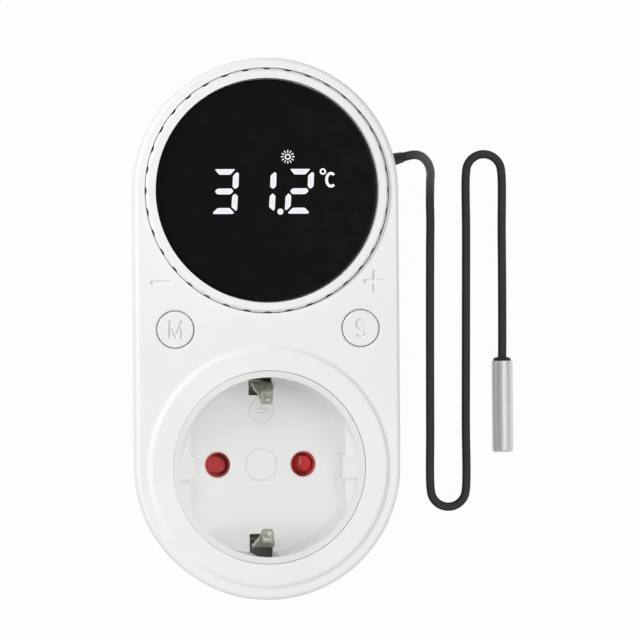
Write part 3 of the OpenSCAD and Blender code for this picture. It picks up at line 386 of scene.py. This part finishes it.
# The gland is moulded rubber, and the sleeve is potted with black resin that stands a little
# proud round the lead. The sleeve is drawn stainless tube: fine lines run along it and blur
# what it mirrors.
rubber = moulded("moulded rubber, black", "#151515", "#1c1c1c", 0.55, 0.3, 0.01, 1.52)
dress(rubber, "cable_gland", "probe_seal")
dress(metal("drawn stainless steel tube", "#dcdddd", "#e6e6e6", 0.42, (0.2, 30, 0.2), 0.001, 0.9),
      "probe_tube")


def turned(profile, sides):
    """A surface of revolution about Y: the profile is (radius, y) from foot to tip in mm, and
    each of its points is carried round at angles 2 pi k / sides. Its ends are flat."""
    p = np.array(profile, float)
    a = np.linspace(0, 2 * np.pi, sides, endpoint=False)
    ring = np.stack([np.cos(a), 0 * a, np.sin(a)], -1)
    points = p[:, None, :1] * ring[None] + p[:, None, 1:] * (0, 1, 0)
    return points.reshape(-1, 3), [face[::-1] for face in tube_faces(len(p), sides)]


# The bead's profile is (radius, mm past the sleeve's mouth): a shoulder that falls away in one
# round sweep to the lead.
BEAD = [(2.08, -1.3), (2.08, -0.1), (2.07, 0.3), (2.0, 0.55), (1.8, 0.72), (1.5, 0.82), (1.2, 0.88),
        (1.04, 0.9)]
BEAD_SIDES = 48
tube_low, tube_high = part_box("probe_tube")
tube_middle = (tube_low + tube_high) / 2
mouth = np.array((tube_middle.x, tube_high.y, tube_middle.z)) / MM
points, faces = turned(BEAD, BEAD_SIDES)
bead = mesh_piece("probe_bead", (points + mouth) * MM, faces, "housing", rubber)

# Rear shell and plug
# The shell is one ABS moulding, white, with the plug's body on its back. The two pins are
# turned brass, nickel plated, and their flanges are held in the plug's sleeves.
dress(moulded("moulded ABS, white, eroded skin", "#eaeae9", "#edeced", 0.42), "rear_shell")
dress(metal("turned brass, nickel plated", "#c9c6bd", "#d8d5cc", 0.2, (3, 3, 0.3)),
      "plug_pin_live", "plug_pin_neutral")

# Power board
# A one-sided board of phenolic paper with a green mask. It carries the relay and the supply
# that drops the mains to a few volts; all of it is soldered by hand or wave.
TRACK_PITCH, TRACK_LENGTH, TRACK_GAP, TRACK_T = 2.5, 9, 0.18, 0.03


def board_material():
    """Green solder mask: copper tracks show through it as a lighter green. The texture takes
    its sizes in tens of mm."""
    material = blank("solder mask over copper tracks")
    place = add(material, "TexCoord").outputs["Object"]
    tracks = add(material, "TexBrick", {"offset": 0.5, "squash": 1.0}, Vector=place,
                 Color1=linear("#1c6a3e"), Color2=linear("#1f7345"), Mortar=linear("#124a2c"),
                 Scale=1 / (10 * MM), Mortar_Size=TRACK_GAP / 10, Brick_Width=TRACK_LENGTH / 10,
                 Row_Height=TRACK_PITCH / 10)
    bump = add(material, "Bump", Strength=0.5, Distance=TRACK_T * MM, Height=tracks.outputs["Fac"])
    mask = add(material, "BsdfPrincipled", Base_Color=tracks.outputs["Color"], Roughness=0.28,
               IOR=1.5, Normal=bump.outputs[0])
    add(material, "OutputMaterial", Surface=mask.outputs[0])
    return material


board = board_material()
dress(board, "power_board")
dress(moulded("moulded polyester, relay case", "#17191b", "#1d1f21", 0.35), "relay", "control_chip")
dress(moulded("moulded polypropylene, capacitor case", "#c9b23a", "#d0ba45", 0.4),
      "film_capacitor")
dress(moulded("shrink sleeve, dark blue", "#1b2440", "#222c4c", 0.3, 1.2), "electrolytic_capacitor")
dress(moulded("dipped epoxy, blue", "#1f4f93", "#2860a8", 0.25, 0.8, 0.03), "varistor")
dress(moulded("moulded nylon, brown", "#4a2c1c", "#553422", 0.4), "fuse")
dress(moulded("moulded nylon, black", "#1a1a1a", "#202020", 0.45), "board_header")

# Contacts and earth strips
# The contacts and the live link are punched from spring brass. The earth strips are nickel
# plated and joined under the plate; their bent ends come through the cup's windows as clips,
# with a dimple pressed into each hook behind the nose that bears on the plug.
dress(metal("rolled spring brass", "#b08d4b", "#c4a05a", 0.3, (0.3, 0.3, 5)),
      "live_contact", "neutral_contact", "live_link")
nickel = metal("rolled brass, nickel plated", "#a3a095", "#c9c6ba", 0.36, (0.7, 2.5, 2.5), 0.003, 0.6)
dress(nickel, "earth_bridge")

# The strip's middle goes through these corners, as (mm from the well's middle, height), and
# half its width follows the height.
STRIP_T = 0.8
STRIP_CORNERS = [(17.7, 2.5), (17.7, 43.8), (13.75, 50.35), (16.5, 51.96)]
STRIP_BENDS = (2.5, 0.7)
HALF_HEIGHTS = [44.6, 45.5, 46.3, 48.0, 49.0, 51.0]
HALF_WIDTHS = [2.2, 2.1, 1.6, 1.25, 1.22, 1.28]
NOSE_CUT, NOSE_SPAN = 0.3, 0.5
TIP_SPAN, TIP_ROUND, TIP_SHARE = 0.6, 0.75, 0.75
DENT_BACK, DENT, DENT_R = 1.75, 0.4, 0.5
RIDGE, RIDGE_R, RIDGE_W = 0.12, 0.95, 0.3
# The straight part has few rows, the hook many, and the widths are smoothed over 11 of them.
STRAIGHT, STRAIGHT_ROWS, HOOK_ROWS, STRIP_COLUMNS, SMOOTHED = 38, 16, 190, 41, 11


def corner_curve(a, corner, b, steps):
    """Quadratic curve from a to b, drawn by its corner: (1 - t)^2 a + 2 t (1 - t) corner + t^2 b."""
    t = np.linspace(0, 1, steps)[:, None]
    return (1 - t) ** 2 * a + 2 * t * (1 - t) * corner + t ** 2 * b


def rounded_path(corners, radii, steps=14):
    """A polyline whose inner corners become quadratic curves that start and end this far
    from the corner."""
    p = np.array(corners, float)
    out = [p[:1]]
    for a, b, c, r in zip(p[:-2], p[1:-1], p[2:], radii):
        out.append(corner_curve(b + unit(a - b) * r, b, b + unit(c - b) * r, steps))
    return np.vstack(out + [p[-1:]])


def strip_half_width(s, end, middle):
    """Half the strip's width at each length s: it follows the height, less a bell of
    NOSE_CUT exp(-(d / NOSE_SPAN)^2) at the nose. From TIP_SPAN before the tip it is drawn in
    by sqrt(1 - TIP_SHARE c^2), where c grows by 1 over TIP_ROUND."""
    half = np.interp(middle[:, 1], HALF_HEIGHTS, HALF_WIDTHS)
    half = np.convolve(np.pad(half, SMOOTHED // 2, "edge"), np.ones(SMOOTHED) / SMOOTHED, "valid")
    nose = s[np.argmin(middle[:, 0])]
    half -= NOSE_CUT * np.exp(-((s - nose) / NOSE_SPAN) ** 2)
    return half * np.sqrt(1 - np.clip((s - end + TIP_SPAN) / TIP_ROUND, 0, 1) ** 2 * TIP_SHARE)


def earth_strip(name, node, way):
    """A bent strip: a rounded path in the plane of Y and Z, carried across its width. At
    DENT_BACK before the tip it is pressed in by a dent DENT exp(-(d / DENT_R)^2) deep, with a
    ridge RIDGE exp(-((d - RIDGE_R) / RIDGE_W)^2) high round it. way is 1 or -1 along Y."""
    path = rounded_path(STRIP_CORNERS, STRIP_BENDS)
    step = np.concatenate([[0], np.cumsum(np.hypot(*np.diff(path, axis=0).T))])
    end = step[-1]
    s = np.concatenate([np.linspace(0, STRAIGHT, STRAIGHT_ROWS, endpoint=False),
                        np.linspace(STRAIGHT, end, HOOK_ROWS)])
    middle = np.stack([np.interp(s, step, path[:, k]) for k in (0, 1)], -1)
    along = unit(np.gradient(middle, s, axis=0))
    out_y, out_z = along[:, 1:], -along[:, :1]
    x = strip_half_width(s, end, middle)[:, None] * np.linspace(-1, 1, STRIP_COLUMNS)[None]
    d = np.hypot(x, s[:, None] - (end - DENT_BACK))
    dent = DENT * np.exp(-(d / DENT_R) ** 2) - RIDGE * np.exp(-((d - RIDGE_R) / RIDGE_W) ** 2)
    layers = []
    for face in (-1, 1):
        away = face * STRIP_T / 2 + dent
        layers.append(np.stack([x, (middle[:, :1] + out_y * away) * way, middle[:, 1:] + out_z * away], -1))
    shell = np.concatenate([layers[1], layers[0][:, ::-1]], 1)
    faces = tube_faces(len(s), 2 * STRIP_COLUMNS)
    if way > 0:
        faces = [face[::-1] for face in faces]
    piece = mesh_piece(name, shell.reshape(-1, 3) * MM, faces, "housing", nickel,
                       smooth=False)
    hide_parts(node)
    return piece


clip_top = earth_strip("earth_clip_top", "earth_strip_top", 1)
clip_bottom = earth_strip("earth_clip_bottom", "earth_strip_bottom", -1)

# Socket
# The cup is one moulding of pale grey polycarbonate, 39 mm wide and 17.5 mm deep. A flange
# holds it under the cover. Its floor carries the earth sign and a circle as raised lines.
FLOOR_Z = 38.2
LINE, LINE_SIDES = 0.36, 8
CIRCLE_R, CIRCLE_POINTS, BAR_POINTS = 3.5, 65, 12
EARTH_Y, EARTH_R = 11.9, 2.7
EARTH_BARS = ((1.5, 0.25), (1.0, -0.55), (0.45, -1.5))
cup_plastic = moulded("moulded polycarbonate, pale grey", "#e6e6e5", "#eaeae9", 0.4, 0.5, 0.004, 1.58)
dress(cup_plastic, "socket_insert")


def bar(start, end):
    """Points on a straight line."""
    return np.linspace(start, end, BAR_POINTS)


def lines_on_floor(name, lines):
    """Each line becomes a tube LINE thick, sunk into the floor to its middle."""
    points, faces = [], []
    for path in lines:
        start = sum(len(p) for p in points)
        points.append(tube(at_height(path, FLOOR_Z) * MM, LINE / 2 * MM, LINE_SIDES)[0])
        faces += tube_faces(len(path), LINE_SIDES, start)
    return mesh_piece(name, np.vstack(points), faces, "housing", cup_plastic)


signs = [arc((0, 0), CIRCLE_R, 0, 360, CIRCLE_POINTS),
         arc((0, EARTH_Y), EARTH_R, 0, 360, CIRCLE_POINTS),
         bar((0, EARTH_Y + EARTH_R), (0, EARTH_Y + EARTH_BARS[0][1]))]
signs += [bar((-half, EARTH_Y + rise), (half, EARTH_Y + rise)) for half, rise in EARTH_BARS]
floor_signs = lines_on_floor("floor_signs", signs)

# Shutter
# A red two-armed rotor closes both holes until two pins push its slopes aside together. It
# and the plate under it are acetal, which slides well and shines a little.
dress(moulded("moulded acetal, red", "#c02c2c", "#ca3433", 0.42, 0.6, 0.005, 1.48), "shutter")
dress(metal("spring steel wire", "#8d8f92", "#a3a5a8", 0.3, (0.2, 0.2, 0.2)), "shutter_spring")
dress(moulded("moulded acetal, grey", "#8f9192", "#979999", 0.4, 0.5, 0.004, 1.48), "shutter_plate")

# Display board
# The second board lies under the face. It holds the control chip, the rotary encoder with
# its pinion and a push switch under each button.
dress(board, "display_board")
dress(moulded("moulded nylon, encoder and switch bodies", "#202122", "#27282a", 0.4),
      "encoder_body", "tact_switch_m", "tact_switch_s")
dress(moulded("moulded acetal, natural", "#e4e2dc", "#eae8e2", 0.35, 0.5, 0.004, 1.48),
      "encoder_pinion", "tact_plunger_m", "tact_plunger_s")

# Display and its carrier
# The display module is potted in grey epoxy. A black carrier on four posts holds it under
# the lens, and the dial turns on the carrier's outer wall.
dress(moulded("potting epoxy, dark grey", "#26282a", "#2c2e30", 0.3, 1.0, 0.01, 1.55), "led_display")
dress(moulded("moulded nylon, black, glass filled", "#17181a", "#1e1f21", 0.5, 0.5, 0.01, 1.52),
      "display_carrier", "knob_retainer")

# Dial
# The grip ring is white ABS with a polished top and 36 finger scallops. The gear teeth
# inside it drive the encoder, and from the front it shows as a narrow white rim round the lens.
dress(moulded("moulded ABS, white, polished", "#eaeaea", "#eeeeee", 0.3, 0.6, 0.003), "knob_ring")

# Lens and lit digits
# The lens is smoked acrylic, polished, with a ground bevel. The lit segments behind it are
# drawn as films 0.02 mm proud of its face, with a cooler middle and a whiter edge.
# The middle of the lens's face, in mm.
LENS_PLACE = (0.0, 60.0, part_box("display_lens")[1].z / MM)
FILM = 0.02


def lens_material():
    """Smoked acrylic: black through its depth, glossy, with faint haze from wiping."""
    material = blank("smoked acrylic, polished")
    haze_size, rough_low, rough_high = 4 * MM, 0.08, 0.16
    place = add(material, "TexCoord").outputs["Object"]
    haze = add(material, "TexNoise", Vector=place, Scale=1 / haze_size, Detail=3.0)
    shine = add(material, "MapRange", Value=haze.outputs["Fac"], From_Min=NOISE_LOW,
                From_Max=NOISE_HIGH, To_Min=rough_low, To_Max=rough_high)
    tone = add(material, "ValToRGB", stops=((0, "#090909"), (1, "#0d0d0d")), Fac=haze.outputs["Fac"])
    acrylic = add(material, "BsdfPrincipled", Base_Color=tone.outputs[0], Roughness=shine.outputs[0],
                  IOR=1.49, Specular_IOR_Level=0.2)
    add(material, "OutputMaterial", Surface=acrylic.outputs[0])
    return material


dress(lens_material(), "display_lens")

# Seven-segment digits, in mm from their lower left corner. They are drawn 10 high and upright,
# and shown 9.7 high with a lean of 3 degrees.
SEGMENTS = {
    "top": [(0, 10), (4.5, 10), (3.45, 8.76), (1.0, 8.76)],
    "upper right": [(4.03, 8.54), (4.88, 9.33), (5.29, 9.07), (5.33, 6.11), (4.69, 5.54), (4.05, 6.02)],
    "middle": [(0.21, 5.04), (0.77, 5.67), (3.88, 5.67), (4.3, 5.04), (3.64, 4.37), (0.77, 4.37)],
    "lower right": [(4.05, 3.98), (4.65, 4.57), (5.29, 3.98), (5.25, 0.98), (5.0, 0.67), (4.0, 1.54)],
    "lower left": [(-0.72, 3.78), (-0.09, 4.57), (0.52, 4.09), (0.5, 1.65), (-0.37, 0.78), (-0.72, 0.98)],
    "bottom": [(0, 0.28), (1.0, 1.33), (3.63, 1.33), (4.6, 0.28), (4.37, 0), (0.2, 0)],
}
DIGITS = (("top", "upper right", "middle", "lower right", "bottom"),
          ("upper right", "lower right"),
          ("top", "upper right", "middle", "lower left", "bottom"))
DRAWN_H, DIGIT_H, DIGIT_PITCH, LEAN = 10, 9.7, 8.2, math.tan(math.radians(3))
DIGITS_PLACE = (-11.84, -5.05)
SEGMENT_ROUND, CORE_SHARE = 0.3, 0.4
POINT_PLACE, POINT_R, POINT_SIDES = (2.9, -4.6), 0.66, 24
SUN_PLACE, SUN_R, SUN_W = (4.6, 7.3), 0.52, 0.27
RAY_IN, RAY_OUT, RAY_HALF, RAY_ROUND, RAY_TURN = 0.9, 1.5, 0.12, 0.1, 30
DEGREE_PLACE, DEGREE_R, DEGREE_W = (12.25, 4.07), 0.52, 0.36
C_PLACE, C_RADII, C_W, C_START, C_END = (14.0, 2.27), (0.95, 1.4), 0.6, 48, 312


def rounded(corners, radius, most=0.4, steps=4):
    """Each corner of a polygon becomes a quadratic curve that starts and ends this far from
    it, or at most at this share of the shorter side."""
    p = np.array(corners, float)
    before, after = np.roll(p, 1, 0) - p, np.roll(p, -1, 0) - p
    long_a, long_b = np.linalg.norm(before, axis=1), np.linalg.norm(after, axis=1)
    cut = np.minimum(radius, most * np.minimum(long_a, long_b))
    a = p + before * (cut / long_a)[:, None]
    b = p + after * (cut / long_b)[:, None]
    return corner_curve(a[:, None], p[:, None], b[:, None], steps).reshape(-1, 2)


def filled_shapes():
    """Filled outlines: the lit segments, the decimal point and the sun's rays, as lists of
    (x, y) in mm from the lens's middle."""
    shapes = []
    for place, names in enumerate(DIGITS):
        for name in names:
            p = np.array(SEGMENTS[name], float)
            p[:, 1] *= DIGIT_H / DRAWN_H
            p[:, 0] += LEAN * p[:, 1] + place * DIGIT_PITCH
            shapes.append(rounded(p + DIGITS_PLACE, SEGMENT_ROUND))
    shapes.append(arc(POINT_PLACE, POINT_R, 0, 360 - 360 / POINT_SIDES, POINT_SIDES))
    ray = rounded([(RAY_IN, -RAY_HALF), (RAY_OUT, -RAY_HALF), (RAY_OUT, RAY_HALF), (RAY_IN, RAY_HALF)],
                  RAY_ROUND)
    for turn in np.radians(np.arange(0, 360, RAY_TURN)):
        c, s = math.cos(turn), math.sin(turn)
        shapes.append(ray @ np.array([[c, s], [-s, c]]) + SUN_PLACE)
    return shapes


def arc_band(centre, radii, width, start=0, end=351, count=40):
    """The outer and the inner edge of a stroke along an arc, half the width off it along its
    normal (ry cos a, rx sin a). 40 points from 0 to 351 degrees go right round."""
    middle = arc(centre, radii, start, end, count)
    out = unit(arc((0, 0), radii[::-1], start, end, count))
    return middle + out * width / 2, middle - out * width / 2


def segment_material():
    """Light through the smoked lens. The attribute "core" is 1 in the middle of a segment,
    which is a little cooler, and 0 at its edge."""
    material = blank("light of the display segments")
    core = add(material, "Attribute", {"attribute_name": "core"})
    tone = add(material, "ValToRGB", stops=((0, "#fdfdfe"), (1, "#eceffa")), Fac=core.outputs["Fac"])
    light = add(material, "Emission", Color=tone.outputs[0], Strength=1.0)
    add(material, "OutputMaterial", Surface=light.outputs[0])
    return material


film_points, film_faces, film_core = [], [], []


def add_film(rings, heights, cores, **joined):
    """Rings of (x, y) points, each at its height over the lens, with quads between them;
    returns the points' numbers, one row for each ring."""
    start = sum(len(ring) for ring in film_points)
    for ring, height, core in zip(rings, heights, cores):
        film_points.append(at_height(ring, height))
        film_core.extend([core] * len(ring))
    film_faces.extend(start + grid_faces(len(rings), len(rings[0]), **joined))
    return start + np.arange(len(rings) * len(rings[0])).reshape(len(rings), -1)


for shape in filled_shapes():
    area = np.sum(shape[:, 0] * np.roll(shape[:, 1], -1) - shape[:, 1] * np.roll(shape[:, 0], -1))
    shape = shape if area > 0 else shape[::-1]
    inner = shape.mean(0) + (shape - shape.mean(0)) * CORE_SHARE
    number = add_film([shape, shape, inner], (-FILM, FILM, FILM), (0, 0, 1), round_columns=True)
    film_faces += [number[2], number[0, ::-1]]
for outer, inner, closed in (
        (*arc_band(DEGREE_PLACE, (DEGREE_R, DEGREE_R), DEGREE_W), True),
        (*arc_band(SUN_PLACE, (SUN_R, SUN_R), SUN_W), True),
        (*arc_band(C_PLACE, C_RADII, C_W, C_START, C_END), False)):
    number = add_film([outer, outer, inner, inner], (-FILM, FILM, FILM, -FILM), (0, 0, 0, 0),
                      round_rows=True, round_columns=closed)
    if not closed:
        film_faces += [number[:, 0], number[::-1, -1]]
lit = mesh_piece("lit_segments", (np.vstack(film_points) + LENS_PLACE) * MM, film_faces, "housing",
                 segment_material(), smooth=False)
lit.data.attributes.new("core", "FLOAT", "POINT").data.foreach_set("value", film_core)

# Front cover
# White ABS again, in the same tool finish as the shell, with a soft step round the socket
# and the engraved plus and minus. Four screws pull it down from behind.
dress(moulded("moulded ABS, white, eroded skin, cover", "#ebebeb", "#eeeeee", 0.42), "front_cover")

# Buttons
# Each button is a white ABS cap with a flange that stops it under the face and a stem that
# meets the switch. The letters are engraved into its flat top.
CAP_R, CAP_EDGE = 3.92, 0.25
FLANGE_W, FLANGE_T, FLANGE_DROP = 1.0, 1.2, 2.75
STEM_R = 1.6
STROKE_W, STROKE_DEPTH, STROKE_SLOPE = 0.5, 0.35, 0.08
M_HALF, M_FOOT, M_TOP, M_DIP = 1.28, -1.75, 1.7, -1.55
S_UPPER, S_UPPER_R, S_LOWER, S_LOWER_R = (0, 0.93), 0.92, (0, -0.95), (0.97, 0.96)
BOW_POINTS = 16
button_plastic = moulded("moulded ABS, white, satin", "#e9e9e8", "#edeceb", 0.38, 0.5, 0.003)


def stroke_depth(x, y, path):
    """How deep the engraving is at each point: full within the stroke's flat, then a slope
    e^2 (3 - 2 e) that is STROKE_SLOPE wide. The distance is that to the nearest piece of the
    path."""
    nearest = np.full(x.shape, 1e9)
    for (x0, y0), (x1, y1) in zip(path[:-1], path[1:]):
        dx, dy = x1 - x0, y1 - y0
        t = np.clip(((x - x0) * dx + (y - y0) * dy) / (dx * dx + dy * dy), 0, 1)
        nearest = np.minimum(nearest, np.hypot(x - x0 - t * dx, y - y0 - t * dy))
    edge = np.clip((STROKE_W / 2 + STROKE_SLOPE / 2 - nearest) / STROKE_SLOPE, 0, 1)
    return STROKE_DEPTH * edge * edge * (3 - 2 * edge)


def button_cap(name, node, body, path, n=150):
    """The top is a square grid of n by n (u, v) pressed into a disc: x = u sqrt(1 - v^2 / 2)
    and y = v sqrt(1 - u^2 / 2). Its rim is carried down the cap's profile to the stem's foot."""
    low, high = (np.array(corner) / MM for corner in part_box(node))
    u, v = np.meshgrid(np.linspace(-1, 1, n), np.linspace(-1, 1, n))
    face_r = CAP_R - CAP_EDGE
    x, y = face_r * u * np.sqrt(1 - v * v / 2), face_r * v * np.sqrt(1 - u * u / 2)
    grid = np.stack([x, y, high[2] - stroke_depth(x, y, path)], -1).reshape(-1, 3)
    number = np.arange(n * n).reshape(n, n)
    rim = np.concatenate([number[0, :-1], number[:-1, -1], number[-1, :0:-1], number[:0:-1, 0]])
    angle = np.arctan2(grid[rim, 1], grid[rim, 0])
    flange_top = high[2] - FLANGE_DROP
    profile = arc((face_r, high[2] - CAP_EDGE), CAP_EDGE, 60, 0, 3).tolist()
    profile += [(CAP_R, flange_top), (CAP_R + FLANGE_W, flange_top),
                (CAP_R + FLANGE_W, flange_top - FLANGE_T), (STEM_R, flange_top - FLANGE_T),
                (STEM_R, low[2])]
    rings = [np.stack([r * np.cos(angle), r * np.sin(angle), 0 * angle + h], -1) for r, h in profile]
    middle = (low + high) / 2
    points = np.vstack([grid] + rings) + (middle[0], middle[1], 0)
    faces = grid_faces(n, n).tolist()
    last = rim
    for k in range(len(profile)):
        ring = n * n + k * len(rim) + np.arange(len(rim))
        faces += np.stack([last, ring, np.roll(ring, -1), np.roll(last, -1)], -1).tolist()
        last = ring
    faces.append(last[::-1])
    cap = mesh_piece(name, points * MM, faces, body, button_plastic, smooth=False)
    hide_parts(node)


letter_m = [(-M_HALF, M_FOOT), (-M_HALF, M_TOP), (0, M_DIP), (M_HALF, M_TOP), (M_HALF, M_FOOT)]
letter_s = np.vstack([arc(S_UPPER, S_UPPER_R, 38, 270, BOW_POINTS),
                      arc(S_LOWER, S_LOWER_R, 90, -142, BOW_POINTS)])
button_cap("button_cap_m", "button_m", "button_left", letter_m)
button_cap("button_cap_s", "button_s", "button_right", letter_s)

# Screws
# Zinc-plated steel screws with cross recesses: long ones hold the housing from behind, short
# ones hold the boards.
dress(metal("zinc plated steel", "#a9acae", "#bfc2c3", 0.3, (0.3, 0.3, 0.3)),
      "board_screws", "housing_screws")

# Lamps for single pieces
# The photograph's shades need boxes that light single pieces. The well has three, and its walls
# don't shade the two at its side. The shutter has two in place of all others, each earth clip
# has one behind it that only the table shades, and the probe has one that it mirrors.
cup, shutter, probe = [nodes["socket_insert"]], [nodes["shutter"]], [nodes["probe_tube"]]
well = cup + [floor_signs, clip_top, clip_bottom]
walls = cup + [nodes["front_cover"], nodes["rear_shell"]]
# The pieces that a lamp lights, and those that shade its light: with INCLUDE these pieces
# only, and with EXCLUDE all but these.
LIT = {
    "key, left": ("EXCLUDE", well + shutter),
    "low box, right": ("EXCLUDE", well + shutter + [lead] + probe),
    "top box, well": ("INCLUDE", well),
    "left box, shutter": ("INCLUDE", shutter),
    "right box, shutter": ("INCLUDE", shutter),
    "overhead box": ("EXCLUDE", shutter),
    "right box": ("EXCLUDE", shutter),
    "left box, well": ("INCLUDE", well),
    "low box, well": ("INCLUDE", cup),
    "box behind the top clip": ("INCLUDE", [clip_top]),
    "box behind the bottom clip": ("INCLUDE", [clip_bottom]),
    "box over the probe": ("INCLUDE", probe),
}
SHADED = {
    "left box, well": ("EXCLUDE", walls),
    "low box, well": ("EXCLUDE", walls),
    "box behind the top clip": ("INCLUDE", [table]),
    "box behind the bottom clip": ("INCLUDE", [table]),
}


def linked(name, state, pieces):
    """A group for light linking, of these pieces only, or of all but these."""
    group = bpy.data.collections.new(name)
    for piece in pieces:
        group.objects.link(piece)
    for item in group.collection_objects:
        item.light_linking.link_state = state
    return group


for name, (state, pieces) in LIT.items():
    group = linked(name + " receivers", state, pieces)
    bpy.data.objects[name].light_linking.receiver_collection = group
for name, (state, pieces) in SHADED.items():
    group = linked(name + " blockers", state, pieces)
    bpy.data.objects[name].light_linking.blocker_collection = group
